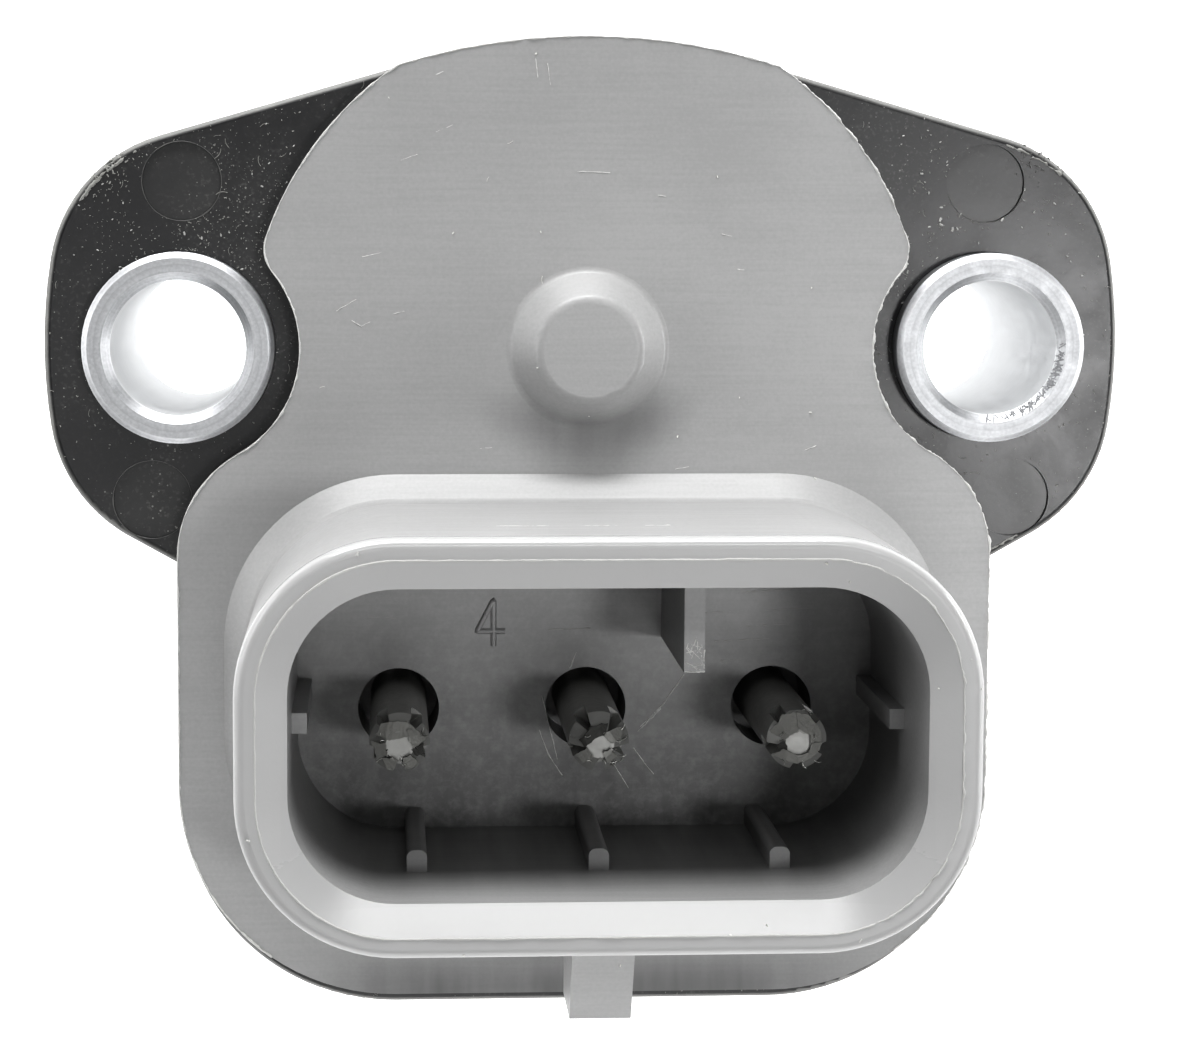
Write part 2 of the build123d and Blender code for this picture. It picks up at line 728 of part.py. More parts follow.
# Ring seal in the hub's groove.
with BuildPart() as rotor_seal:
    with Locations((0, 0, seal_z)):
        Torus(hub_r - seal_section / 2, seal_section / 2)
rotor_seal.part.label = "rotor_seal"
export_step(rotor_seal.part, "parts/rotor_seal.step")

# Thrust washer on the rotor's shoulder, below the pivot collar.
with BuildPart() as thrust_washer:
    with BuildSketch(Plane.XY.offset(neck_top)):
        Circle(neck_r)
        Circle(pivot_r + running_clear, mode=Mode.SUBTRACT)
    extrude(amount=washer_thick)
thrust_washer.part.label = "thrust_washer"
export_step(thrust_washer.part, "parts/thrust_washer.step")
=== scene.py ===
import json
import math
import random
import bmesh
import bpy
from mathutils import Euler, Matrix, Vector


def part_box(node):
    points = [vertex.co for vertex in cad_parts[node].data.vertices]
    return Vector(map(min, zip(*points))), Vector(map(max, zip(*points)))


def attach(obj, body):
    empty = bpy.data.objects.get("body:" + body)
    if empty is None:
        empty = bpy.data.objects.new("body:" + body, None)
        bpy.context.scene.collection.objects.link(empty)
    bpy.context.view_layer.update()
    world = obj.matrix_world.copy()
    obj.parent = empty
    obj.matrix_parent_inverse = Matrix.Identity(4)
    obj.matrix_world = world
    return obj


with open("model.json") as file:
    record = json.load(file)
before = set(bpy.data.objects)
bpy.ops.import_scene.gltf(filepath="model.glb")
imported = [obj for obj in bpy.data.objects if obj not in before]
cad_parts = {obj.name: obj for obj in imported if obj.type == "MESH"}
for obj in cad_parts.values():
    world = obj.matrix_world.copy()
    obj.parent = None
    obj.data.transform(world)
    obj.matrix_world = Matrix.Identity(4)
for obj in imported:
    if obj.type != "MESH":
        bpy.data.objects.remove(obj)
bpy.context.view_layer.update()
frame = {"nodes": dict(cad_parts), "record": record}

mm = 0.001
nodes = frame["nodes"]
scene = bpy.context.scene
print("frame loaded:", len(nodes), "nodes")


def topOf(node):  # a node's highest level in millimetres
    return round(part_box(node)[1].z / mm, 2)


# Levels and places that several pieces share, in millimetres
plateThick = 1.1  # of the cover over the ears
floorSink = 0.2  # of the mouth's floor below the plate
keyReach = 7.5  # of the key rib above the floor
rimLevel = topOf("connector_cover")
earLevel = topOf("base_housing")
sleeveLevel = topOf("right_sleeve")
pinLevel = topOf("left_terminal")
plateLevel = round(earLevel + plateThick, 2)
floorLevel = round(plateLevel - floorSink, 2)
keyLevel = round(floorLevel + keyReach, 2)
screwBore = next(mount for mount in frame["record"]["mounts"] if mount["name"] == "right_screw_bore")
holeX = round(screwBore["pos_m"][0] / mm, 2)
boreRadius = screwBore["dims"]["r_mm"]
# The right ear's ejector discs, which the left ear mirrors
ejectorDiscs = {"size": 3.4, "upper": (17.35, 7.1), "lower": (18.7, -6.6)}

# Kinds of node, settings and groups of sockets that are used again and again
mathNode, rangeNode, mixNode = "ShaderNodeMath", "ShaderNodeMapRange", "ShaderNodeMix"
noiseNode, vectorNode, splitNode = "ShaderNodeTexNoise", "ShaderNodeVectorMath", "ShaderNodeSeparateXYZ"
joinNode, bumpNode, randomNode = "ShaderNodeCombineXYZ", "ShaderNodeBump", "FunctionNodeRandomValue"
multiply, multiplyAdd = {"operation": "MULTIPLY"}, {"operation": "MULTIPLY_ADD"}
lessThan, greaterThan = {"operation": "LESS_THAN"}, {"operation": "GREATER_THAN"}
absolute, subtract = {"operation": "ABSOLUTE"}, {"operation": "SUBTRACT"}
divide, distance = {"operation": "DIVIDE"}, {"operation": "DISTANCE"}
smooth, colours = {"interpolation_type": "SMOOTHSTEP"}, {"data_type": "RGBA"}
fromSpan, toSpan = (1, 2), (3, 4)  # Map Range: what it takes and what it gives
mixEnds = (6, 7)  # Mix: its two colours
vectorSpan, floatSpan, seedSocket = (0, 1), (2, 3), 8  # Random Value: its limits and its seed


def linear(hexColour):  # sRGB hex to linear RGBA
    parts = [int(hexColour[i:i + 2], 16) / 255 for i in (1, 3, 5)]
    return [c / 12.92 if c <= 0.04045 else ((c + 0.055) / 1.055) ** 2.4 for c in parts] + [1.0]


def metres(sizes):
    return [size * mm for size in sizes]


def perMm(size):  # texture scale for a pattern whose cell is this many millimetres
    return 1 / (size * mm)


# Links or sets a node's inputs; a node given as a value stands for its first output that is in use
def feed(tree, node, inputs):
    for key, value in inputs.items():
        for socket, entry in (zip(key, value) if isinstance(key, tuple) else [(key, value)]):
            if isinstance(entry, bpy.types.Node):
                entry = next(output for output in entry.outputs if output.enabled)
            if isinstance(entry, bpy.types.NodeSocket):
                tree.links.new(entry, node.inputs[socket])
            else:
                node.inputs[socket].default_value = entry


def addNode(tree, kind, settings=None, inputs=None):
    node = tree.nodes.new(kind)
    for name, value in (settings or {}).items():
        setattr(node, name, value)
    feed(tree, node, inputs or {})
    return node


def allOf(tree, *masks):  # one mask that is there only where all of these are
    whole = masks[0]
    for mask in masks[1:]:
        whole = addNode(tree, mathNode, multiply, {0: whole, 1: mask})
    return whole


# Camera: over the rotor's upper left, looking down on the connector, as in the photograph
cameraSetup = {
    "place": (-8.69, 6.28, 107.9),
    "turn": (-4.384, -2.413, 0.137),
    "lens": 67.77,
    "sensor": 36,
    "shift": (0.10, -0.13),
    "clip": (1, 10000),
}
cameraData = bpy.data.cameras.new("camera")
cameraData.sensor_width = cameraSetup["sensor"]
cameraData.lens = cameraSetup["lens"]
cameraData.shift_x, cameraData.shift_y = cameraSetup["shift"]
cameraData.clip_start, cameraData.clip_end = metres(cameraSetup["clip"])
camera = bpy.data.objects.new("camera", cameraData)
scene.collection.objects.link(camera)
camera.location = Vector(cameraSetup["place"]) * mm
camera.rotation_euler = Euler([math.radians(a) for a in cameraSetup["turn"]])
scene.camera = camera

# Studio: a lit pale table in a light tent, brightest at the top of the picture and dim in front
studio = {
    "tableSize": 4000,
    "tableDrop": 0.05,
    "tableColour": "#f4f4f4",
    "tableRoughness": 0.9,
    "tableGlow": 0.9,
    "skyColour": "#f2f4f6",
    "skyStrength": 0.03,
    "lights": {
        "topLow": {"place": (-30, 330, 55), "aim": (0, -5, 18), "size": (340, 50), "power": 0.2},
        "top": {"place": (-30, 320, 108), "aim": (0, -5, 18), "size": (280, 70), "power": 0.86},
        "sheen": {"place": (25, 185, 290), "aim": (0, -21, 22), "size": (300, 12), "power": 0.13},
        "right": {"place": (330, 0, 60), "aim": (0, 0, 14), "size": (260, 60), "power": 0.42},
        "left": {"place": (-325, 55, 95), "aim": (0, 0, 14), "size": (260, 80), "power": 0.29},
        "bottom": {"place": (0, -320, 85), "aim": (0, -12, 18), "size": (300, 80), "power": 0.36},
        "front": {"place": (60, -220, 370), "aim": (5, -8, 10), "size": (300, 200), "power": 0.32},
        "frontRight": {"place": (165, -35, 425), "aim": (18, -3, 10), "size": (50, 90), "power": 0.31},
        "overLeft": {"place": (-60, -30, 430), "aim": (-17, 0, 10), "size": (120, 120), "power": 0.055},
    },
}
scene.view_settings.view_transform = "Standard"
scene.view_settings.look = "High Contrast"
world = bpy.data.worlds.new("studioSky")
scene.world = world
world.use_nodes = True
feed(world.node_tree, world.node_tree.nodes["Background"], {
    "Color": linear(studio["skyColour"]), "Strength": studio["skyStrength"],
})
for name, setup in studio["lights"].items():
    lightData = bpy.data.lights.new(name, "AREA")
    lightData.shape = "RECTANGLE"
    lightData.size, lightData.size_y = metres(setup["size"])
    lightData.energy = setup["power"]
    light = bpy.data.objects.new(name, lightData)
    scene.collection.objects.link(light)
    light.location = Vector(setup["place"]) * mm
    aim = Vector(setup["aim"]) * mm
    light.rotation_euler = (aim - light.location).to_track_quat("-Z", "Y").to_euler()
tableMesh = bpy.data.meshes.new("table")
half = studio["tableSize"] / 2 * mm
corners = [(-half, -half, 0), (half, -half, 0), (half, half, 0), (-half, half, 0)]
tableMesh.from_pydata(corners, [], [(0, 1, 2, 3)])
table = bpy.data.objects.new("table", tableMesh)
scene.collection.objects.link(table)
table.location.z = -studio["tableDrop"] * mm
tableMaterial = bpy.data.materials.new("pale_table")
tableMaterial.use_nodes = True
feed(tableMaterial.node_tree, tableMaterial.node_tree.nodes["Principled BSDF"], {
    "Base Color": linear(studio["tableColour"]), "Roughness": studio["tableRoughness"],
    "Emission Color": linear(studio["tableColour"]), "Emission Strength": studio["tableGlow"],
})
tableMesh.materials.append(tableMaterial)
print("camera, lights and table set")


def startMaterial(name):
    material = bpy.data.materials.new(name)
    material.use_nodes = True
    tree = material.node_tree
    place = addNode(tree, "ShaderNodeTexCoord").outputs["Object"]
    return material, tree, tree.nodes["Principled BSDF"], place


# Glass-filled polyester, moulded against a ground tool. The eye sees matt grey with faint streaks along X,
# paler and polished at the rim, and scuffed by plugs on the mouth's floor. A streaked painted shade darkens
# the mouth's low side, the strip below the shroud and the nook below the boss, where the walls and the boss
# shade them
greyFinish = {
    "colour": "#aaaaaa",
    "streakColour": "#a2a2a2",
    "rimColour": "#b1b1b1",
    # the colour of the painted shade in the mouth, below the shroud and below the boss
    "paintedShadeColour": "#707070",
    "scuffColour": "#c0c0c0",
    "ior": 1.57,
    "roughness": (0.34, 0.48),
    "streak": (5.0, 0.16),  # length and width
    "streakShare": 0.7,
    "grain": 0.14,  # coarser than the tool's real texture, so that it shows
    "grainShare": 0.8,
    "cloud": 7.0,
    "toneSpan": (1.0, 1.5),
    "mouthHalf": 12.7,
    "mouthY": (-20.95, -8.5),
    # the spans of each patch of painted shade run from none of it to the most
    "mouthPaintedShade": {"y": (-11, -20.95), "z": (rimLevel, 13.5)},
    "stripPaintedShade": {"x": (13.5, 6), "y": (-25.4, -28.0)},
    "bossPaintedShade": {"reach": (6.0, 3.6), "y": (-1.2, -3.5), "most": 0.64},
    "nearPlate": (12.6, 11.75),
    # streaks that make the painted shade uneven
    "shadeStreak": (1.1, 9.0),  # width and length
    "shadeStreakSpan": (0.35, 0.65),
    "shadeStreakFade": (1.0, 0.72),
    "scuff": 0.55,
    "scuffSpan": (0.45, 0.75),
    "mostScuff": 0.3,
    "scuffLevel": 11.65,
    "leadInLevel": 22.25,
    "leadInTilt": (0.02, 0.42),
    "leadInRoughness": 0.16,
    "relief": 0.012,
    "reliefShare": 0.8,  # of the streaks, beside the grain
    "reliefStrength": (0.25, 0.05),  # plain and polished
}


def greyPolyester():
    finish = greyFinish
    material, tree, shader, place = startMaterial("grey_polyester_moulded")
    streakLength, streakWidth = finish["streak"]
    drawnAlong = addNode(tree, "ShaderNodeMapping", {}, {
        "Vector": place, "Scale": [perMm(size) for size in (streakLength, streakWidth, streakWidth)],
    })
    streaks = addNode(tree, noiseNode, {}, {
        "Vector": drawnAlong, "Scale": 1.0, "Detail": 3.0, "Roughness": 0.6,
    })
    clouds = addNode(tree, noiseNode, {}, {"Vector": place, "Scale": perMm(finish["cloud"]), "Detail": 2.0})
    grain = addNode(tree, noiseNode, {}, {"Vector": place, "Scale": perMm(finish["grain"]), "Detail": 2.0})
    blend = addNode(tree, mathNode, multiplyAdd, {0: streaks, 1: finish["streakShare"], 2: clouds})
    grained = addNode(tree, mathNode, multiplyAdd, {0: grain, 1: finish["grainShare"], 2: blend})
    tone = addNode(tree, rangeNode, {}, {"Value": grained, fromSpan: finish["toneSpan"]})
    colour = addNode(tree, mixNode, colours, {
        "Factor": tone, mixEnds: (linear(finish["colour"]), linear(finish["streakColour"])),
    })
    # Where each patch of painted shade lies
    x, y, z = addNode(tree, splitNode, {}, {"Vector": place}).outputs
    side = addNode(tree, mathNode, absolute, {0: x})
    lowest, highest = metres(finish["mouthY"])
    inside = addNode(tree, mathNode, lessThan, {0: side, 1: finish["mouthHalf"] * mm})
    over = addNode(tree, mathNode, greaterThan, {0: y, 1: lowest})
    deep = addNode(tree, rangeNode, {}, {"Value": z, fromSpan: metres(finish["mouthPaintedShade"]["z"])})
    low = addNode(tree, rangeNode, {}, {"Value": y, fromSpan: metres(finish["mouthPaintedShade"]["y"])})
    below = addNode(tree, rangeNode, smooth, {"Value": y, fromSpan: metres(finish["stripPaintedShade"]["y"])})
    central = addNode(tree, rangeNode, smooth, {"Value": side, fromSpan: metres(finish["stripPaintedShade"]["x"])})
    away = addNode(tree, vectorNode, distance, {0: place, 1: metres((0, 0, plateLevel))})
    ringed = addNode(tree, rangeNode, smooth, {
        "Value": away, fromSpan: metres(finish["bossPaintedShade"]["reach"]), "To Max": finish["bossPaintedShade"]["most"],
    })
    down = addNode(tree, rangeNode, smooth, {"Value": y, fromSpan: metres(finish["bossPaintedShade"]["y"])})
    flat = addNode(tree, rangeNode, {}, {"Value": z, fromSpan: metres(finish["nearPlate"])})
    shadeZones = allOf(tree, inside, over, deep, low)
    for patch in (allOf(tree, below, central, flat), allOf(tree, ringed, down, flat)):
        shadeZones = addNode(tree, mathNode, {"operation": "ADD"}, {0: patch, 1: shadeZones})
    shadeStreakWidth, shadeStreakLength = finish["shadeStreak"]
    drawnDown = addNode(tree, "ShaderNodeMapping", {}, {
        "Vector": place, "Scale": [perMm(size) for size in (shadeStreakWidth, shadeStreakLength, shadeStreakLength)],
    })
    shadeStreaks = addNode(tree, noiseNode, {}, {"Vector": drawnDown, "Scale": 1.0, "Detail": 3.0})
    uneven = addNode(tree, rangeNode, {}, {
        "Value": shadeStreaks, fromSpan: finish["shadeStreakSpan"], toSpan: finish["shadeStreakFade"],
    })
    # the painted shade, made uneven by the streaks
    paintedShade = allOf(tree, shadeZones, uneven)
    # Scuffs on the floor, and the lead-in that plugs have polished
    hatch = addNode(tree, noiseNode, {}, {
        "Vector": place, "Scale": perMm(finish["scuff"]), "Detail": 4.0, "Roughness": 0.7,
    })
    rubs = addNode(tree, rangeNode, {}, {
        "Value": hatch, fromSpan: finish["scuffSpan"], "To Max": finish["mostScuff"],
    })
    under = addNode(tree, mathNode, lessThan, {0: y, 1: highest})
    onFloor = addNode(tree, mathNode, lessThan, {0: z, 1: finish["scuffLevel"] * mm})
    scuffs = allOf(tree, rubs, inside, over, under, onFloor)
    above = addNode(tree, mathNode, greaterThan, {0: z, 1: finish["leadInLevel"] * mm})
    for mask, layer in ((above, "rimColour"), (paintedShade, "paintedShadeColour"), (scuffs, "scuffColour")):
        colour = addNode(tree, mixNode, colours, {"Factor": mask, mixEnds: (colour, linear(finish[layer]))})
    rough = addNode(tree, rangeNode, {}, {"Value": streaks, toSpan: finish["roughness"]})
    normal = addNode(tree, "ShaderNodeNewGeometry").outputs["Normal"]
    facing = addNode(tree, splitNode, {}, {"Vector": normal})
    tilted = addNode(tree, rangeNode, smooth, {"Value": facing.outputs["Y"], fromSpan: finish["leadInTilt"]})
    slid = allOf(tree, above, tilted)
    polished = addNode(tree, mixNode, {"data_type": "FLOAT"}, {
        "Factor": slid, "A": rough, "B": finish["leadInRoughness"],
    })
    relief = addNode(tree, mathNode, multiplyAdd, {0: streaks, 1: finish["reliefShare"], 2: grain})
    strength = addNode(tree, rangeNode, {}, {"Value": slid, toSpan: finish["reliefStrength"]})
    bump = addNode(tree, bumpNode, {}, {
        "Strength": strength, "Distance": finish["relief"] * mm, "Height": relief,
    })
    feed(tree, shader, {"Base Color": colour, "Roughness": polished, "Normal": bump, "IOR": finish["ior"]})
    return material


# The same polyester in black. The eye sees a soft sheen, scuffed grey in patches, greyer ejector discs and
# pale dust on what faces up. Its edges are pale, partly rubbed and partly painted light over the shade on
# their rounded faces
blackFinish = {
    "colour": "#303031",
    "scuffColour": "#454545",
    # pale on the edges: wear, and painted light over their shade
    "edgeRubAndLightColour": "#8a8a88",
    "dustColour": "#8c8c89",
    "ior": 1.57,
    "roughness": (0.28, 0.42),
    "edgeRoughness": 0.3,  # added where an edge is rubbed
    "grain": 0.2,  # coarser than the tool's real texture, so that it shows
    "relief": 0.012,
    "reliefStrength": 0.2,
    "patch": 4.0,
    "patchSpan": (0.4, 0.75),
    "mostWear": 0.8,
    "discWear": 0.45,
    "upward": (0.8, 0.95),  # this and the next two are how far the surface's normal points up
    "turned": (0.99, 0.85),
    "seen": 0.1,
    "raggedSpan": (0.3, 0.6),
    "ragged": (0.55, 1.0),
    "speckCell": 0.34,
    "speckSpan": (0.5, 1.0),
    "mostSpeck": 0.14,
    "dustSpan": (0.44, 0.64),
    "dust": (0.12, 1.0),
    "mottle": 0.16,
    "mottleSpan": (0.55, 0.75),
    "mostHaze": 0.28,
}


def blackPolyester():
    finish = blackFinish
    material, tree, shader, place = startMaterial("black_polyester_moulded")
    grain = addNode(tree, noiseNode, {}, {"Vector": place, "Scale": perMm(finish["grain"]), "Detail": 3.0})
    patches = addNode(tree, noiseNode, {}, {
        "Vector": place, "Scale": perMm(finish["patch"]), "Detail": 8.0, "Roughness": 0.66,
    })
    x, y = addNode(tree, splitNode, {}, {"Vector": place}).outputs[:2]
    mirrored = addNode(tree, joinNode, {}, {"X": addNode(tree, mathNode, absolute, {0: x}), "Y": y})
    patchWear = addNode(tree, rangeNode, {}, {
        "Value": patches, fromSpan: finish["patchSpan"], "To Max": finish["mostWear"],
    })
    worn = patchWear
    for spot in (ejectorDiscs["upper"], ejectorDiscs["lower"]):
        away = addNode(tree, vectorNode, distance, {0: mirrored, 1: metres((*spot, 0))})
        disc = addNode(tree, mathNode, lessThan, {0: away, 1: ejectorDiscs["size"] / 2 * mm})
        worn = addNode(tree, mathNode, multiplyAdd, {0: disc, 1: finish["discWear"], 2: worn})
    # Edges, which lie between what faces up and what faces sideways; their pale is partly wear and partly
    # painted light
    normal = addNode(tree, "ShaderNodeNewGeometry").outputs["Normal"]
    height = addNode(tree, splitNode, {}, {"Vector": normal}).outputs["Z"]
    upward = addNode(tree, rangeNode, {}, {"Value": height, fromSpan: finish["upward"]})
    turned = addNode(tree, rangeNode, {}, {"Value": height, fromSpan: finish["turned"]})
    seen = addNode(tree, mathNode, greaterThan, {0: height, 1: finish["seen"]})
    ragged = addNode(tree, rangeNode, {}, {
        "Value": patches, fromSpan: finish["raggedSpan"], toSpan: finish["ragged"],
    })
    rubbedAndLit = allOf(tree, turned, seen, ragged)
    # Dust: specks in cells, and a haze between them
    cells = addNode(tree, "ShaderNodeTexVoronoi", {"voronoi_dimensions": "2D"}, {
        "Vector": place, "Scale": perMm(finish["speckCell"]),
    })
    pick = addNode(tree, "ShaderNodeSeparateColor", {}, {"Color": cells.outputs["Color"]})
    size = addNode(tree, rangeNode, {}, {
        "Value": pick, fromSpan: finish["speckSpan"], "To Max": finish["mostSpeck"],
    })
    amount = addNode(tree, rangeNode, {}, {
        "Value": patches, fromSpan: finish["dustSpan"], toSpan: finish["dust"],
    })
    reach = allOf(tree, size, amount)
    speck = addNode(tree, mathNode, lessThan, {0: cells.outputs["Distance"], 1: reach})
    fine = addNode(tree, noiseNode, {}, {"Vector": place, "Scale": perMm(finish["mottle"]), "Detail": 2.0})
    haze = addNode(tree, rangeNode, {}, {
        "Value": fine, fromSpan: finish["mottleSpan"], "To Max": finish["mostHaze"],
    })
    bloom = addNode(tree, mathNode, multiplyAdd, {0: haze, 1: amount, 2: speck})
    dust = addNode(tree, mathNode, {"operation": "MULTIPLY", "use_clamp": True}, {0: bloom, 1: upward})
    colour = linear(finish["colour"])
    for mask, layer in ((worn, "scuffColour"), (rubbedAndLit, "edgeRubAndLightColour"), (dust, "dustColour")):
        colour = addNode(tree, mixNode, colours, {"Factor": mask, mixEnds: (colour, linear(finish[layer]))})
    rough = addNode(tree, rangeNode, {}, {"Value": patchWear, toSpan: finish["roughness"]})
    dull = addNode(tree, mathNode, multiplyAdd, {0: rubbedAndLit, 1: finish["edgeRoughness"], 2: rough})
    bump = addNode(tree, bumpNode, {}, {
        "Strength": finish["reliefStrength"], "Distance": finish["relief"] * mm, "Height": grain,
    })
    feed(tree, shader, {"Base Color": colour, "Roughness": dull, "Normal": bump, "IOR": finish["ior"]})
    return material


# Zinc-plated turned steel. The eye sees bright, finely mottled ends with tool rings round each sleeve's own
# axis, and a bore coloured paler than the ends, which is painted light
sleeveFinish = {
    "colour": "#cfd0d2",
    "ringColour": "#bcbdbf",
    # painted light: the bore is coloured paler than the ends
    "paintedBoreLightColour": "#dfe0e1",
    "roughness": (0.48, 0.57),
    "mottle": 0.5,
    "mottleSpan": (0.3, 0.7),
    "waver": 0.12,
    "ringPitch": 0.16,  # coarser than the real feed marks, so that they show
    "crystal": 0.13,
    "crystalShare": 0.7,
    "shadeSpan": (0.65, 1.05),
    "boreSlack": 0.02,
    "relief": 0.02,
    "ringStrength": 0.18,
    "mottleStrength": 0.05,
}


def zincSleeve():
    finish = sleeveFinish
    material, tree, shader, place = startMaterial("zinc_plated_turned_steel")
    x, y = addNode(tree, splitNode, {}, {"Vector": place}).outputs[:2]
    side = addNode(tree, mathNode, absolute, {0: x})
    across = addNode(tree, mathNode, subtract, {0: side, 1: holeX * mm})
    flat = addNode(tree, joinNode, {}, {"X": across, "Y": y})
    radius = addNode(tree, vectorNode, {"operation": "LENGTH"}, {0: flat})
    mottle = addNode(tree, noiseNode, {}, {"Vector": place, "Scale": perMm(finish["mottle"]), "Detail": 4.0})
    waver = addNode(tree, mathNode, multiplyAdd, {0: mottle, 1: finish["waver"] * mm, 2: radius})
    rings = addNode(tree, noiseNode, {"noise_dimensions": "1D"}, {
        "W": waver, "Scale": perMm(finish["ringPitch"]), "Detail": 3.0,
    })
    speckle = addNode(tree, noiseNode, {}, {
        "Vector": place, "Scale": perMm(finish["crystal"]), "Detail": 2.0,
    })
    blend = addNode(tree, mathNode, multiplyAdd, {0: speckle, 1: finish["crystalShare"], 2: rings})
    shade = addNode(tree, rangeNode, {}, {"Value": blend, fromSpan: finish["shadeSpan"]})
    inBore = addNode(tree, mathNode, lessThan, {0: radius, 1: (boreRadius + finish["boreSlack"]) * mm})
    colour = linear(finish["ringColour"])
    for mask, layer in ((shade, "colour"), (inBore, "paintedBoreLightColour")):
        colour = addNode(tree, mixNode, colours, {"Factor": mask, mixEnds: (colour, linear(finish[layer]))})
    rough = addNode(tree, rangeNode, {}, {
        "Value": mottle, fromSpan: finish["mottleSpan"], toSpan: finish["roughness"],
    })
    ringed = addNode(tree, bumpNode, {}, {
        "Strength": finish["ringStrength"], "Distance": finish["relief"] * mm, "Height": rings,
    })
    fine = addNode(tree, bumpNode, {}, {
        "Strength": finish["mottleStrength"], "Distance": finish["relief"] * mm, "Height": mottle,
        "Normal": ringed,
    })
    feed(tree, shader, {"Base Color": colour, "Roughness": rough, "Normal": fine, "Metallic": 1.0})
    return material


# Other finishes: colour, metallic, roughness, grain and relief in millimetres, and what that gives the eye
finishes = {
    "tin_plated_brass": ("#a3a3a1", 0.6, 0.5, 0.25, 0.03),  # dull silver-grey, softly shining
    # the flaps' tin is coloured greyer than the pins' own tin, which is painted shade
    "shaded_folded_tin": ("#8b8b88", 0.3, 0.5, 0.16, 0.06),  # the same tin, greyer and wrinkled by bending
    # painted shade: a dark grey tin laid in the creases of the flaps, where shade falls
    "crease_shade_tin": ("#525250", 0.4, 0.55, 0.16, 0.06),  # dark grey in the creases
    "natural_acetal": ("#d9d4c6", 0.0, 0.42, 0.3, 0.006),  # creamy white with a waxy sheen
    "drawn_stainless_wire": ("#a8a9ab", 1.0, 0.25, 0.12, 0.004),  # bright, smooth wire
    "nickel_silver_sheet": ("#cfc4a8", 1.0, 0.28, 0.2, 0.004),  # pale yellow-grey metal
    "phenolic_laminate": ("#7a5a33", 0.0, 0.5, 0.35, 0.01),  # plain brown board
    "nitrile_rubber": ("#151515", 0.0, 0.62, 0.12, 0.006),  # matt black
    "natural_nylon": ("#e4dfd0", 0.0, 0.45, 0.2, 0.004),  # milky white
}
graining = {"span": (0.3, 0.7), "roughness": (-0.06, 0.08), "strength": 0.5}
# What the object has picked up: colour, metallic and roughness. These pieces are too thin to show a relief
litterFinishes = {
    "torn_polyester_flash": ("#d2d2d0", 0.0, 0.55),  # nearly white
    "scored_polyester": ("#dcdcda", 0.0, 0.5),  # white scratches in the grey
    "chipped_polyester": ("#9a9a97", 0.0, 0.75),  # grey breaks in the black
    "scuffed_polyester": ("#6a6a69", 0.0, 0.6),  # dark grey rubs in the black
    "pale_lint": ("#dededa", 0.0, 0.85),  # white fibres
    "grey_dust": ("#9c9c98", 0.0, 0.9),  # dull grey grains
    "tarnished_zinc": ("#929395", 0.0, 0.6),  # grey oxide, not shiny
    "sheared_tin": ("#c9c9c6", 1.0, 0.35),  # bright slivers
    "rubbed_polyester": ("#bfbfbd", 0.0, 0.5),  # pale grey
}
littering = {"mottle": 0.3, "roughness": (-0.1, 0.1)}


def grainedMaterial(name):
    colour, metallic, roughness, grainSize, relief = finishes[name]
    material, tree, shader, place = startMaterial(name)
    grain = addNode(tree, noiseNode, {}, {"Vector": place, "Scale": perMm(grainSize), "Detail": 4.0})
    rough = addNode(tree, rangeNode, {}, {
        "Value": grain, fromSpan: graining["span"],
        toSpan: [roughness + swing for swing in graining["roughness"]],
    })
    bump = addNode(tree, bumpNode, {}, {
        "Strength": graining["strength"], "Distance": relief * mm, "Height": grain,
    })
    feed(tree, shader, {
        "Base Color": linear(colour), "Metallic": metallic, "Roughness": rough, "Normal": bump,
    })
    return material


def litterMaterial(name):
    colour, metallic, roughness = litterFinishes[name]
    material, tree, shader, place = startMaterial(name)
    mottle = addNode(tree, noiseNode, {}, {
        "Vector": place, "Scale": perMm(littering["mottle"]), "Detail": 2.0,
    })
    rough = addNode(tree, rangeNode, {}, {
        "Value": mottle, toSpan: [roughness + swing for swing in littering["roughness"]],
    })
    feed(tree, shader, {"Base Color": linear(colour), "Metallic": metallic, "Roughness": rough})
    return material


made = {name: grainedMaterial(name) for name in finishes}
made["grey_polyester"] = greyPolyester()
made["black_polyester"] = blackPolyester()
made["zinc_sleeve"] = zincSleeve()
for name in litterFinishes:
    made[name] = litterMaterial(name)
dressedIn = {
    "base_housing": "black_polyester",
    "connector_cover": "grey_polyester",
    "left_sleeve": "zinc_sleeve",
    "right_sleeve": "zinc_sleeve",
    "left_terminal": "tin_plated_brass",
    "centre_terminal": "tin_plated_brass",
    "right_terminal": "tin_plated_brass",
    "rotor": "natural_acetal",
    "return_spring": "drawn_stainless_wire",
    "wiper": "nickel_silver_sheet",
    "track_board": "phenolic_laminate",
    "board_rivets": "tin_plated_brass",
    "rotor_seal": "nitrile_rubber",
    "thrust_washer": "natural_nylon",
}
for node, finish in dressedIn.items():
    for slot in nodes[node].material_slots:
        slot.material = made[finish]
print("materials assigned:", len(dressedIn), "nodes")


def newTree(name, inputs):
    tree = bpy.data.node_groups.new(name, "GeometryNodeTree")
    tree.interface.new_socket("Geometry", in_out="INPUT", socket_type="NodeSocketGeometry")
    for label, kind in inputs.items():
        tree.interface.new_socket(label, in_out="INPUT", socket_type="NodeSocket" + kind)
    tree.interface.new_socket("Geometry", in_out="OUTPUT", socket_type="NodeSocketGeometry")
    return tree, addNode(tree, "NodeGroupInput").outputs


def closeTree(tree, geometry, material):
    whole = addNode(tree, "GeometryNodeRealizeInstances", {}, {"Geometry": geometry})
    dressed = addNode(tree, "GeometryNodeSetMaterial", {}, {"Geometry": whole, "Material": material})
    addNode(tree, "NodeGroupOutput", {}, {"Geometry": dressed})


# A strand that runs along a path, thick and thin by turns
strandShape = {"sides": 5, "swellSpan": (0.38, 0.68)}


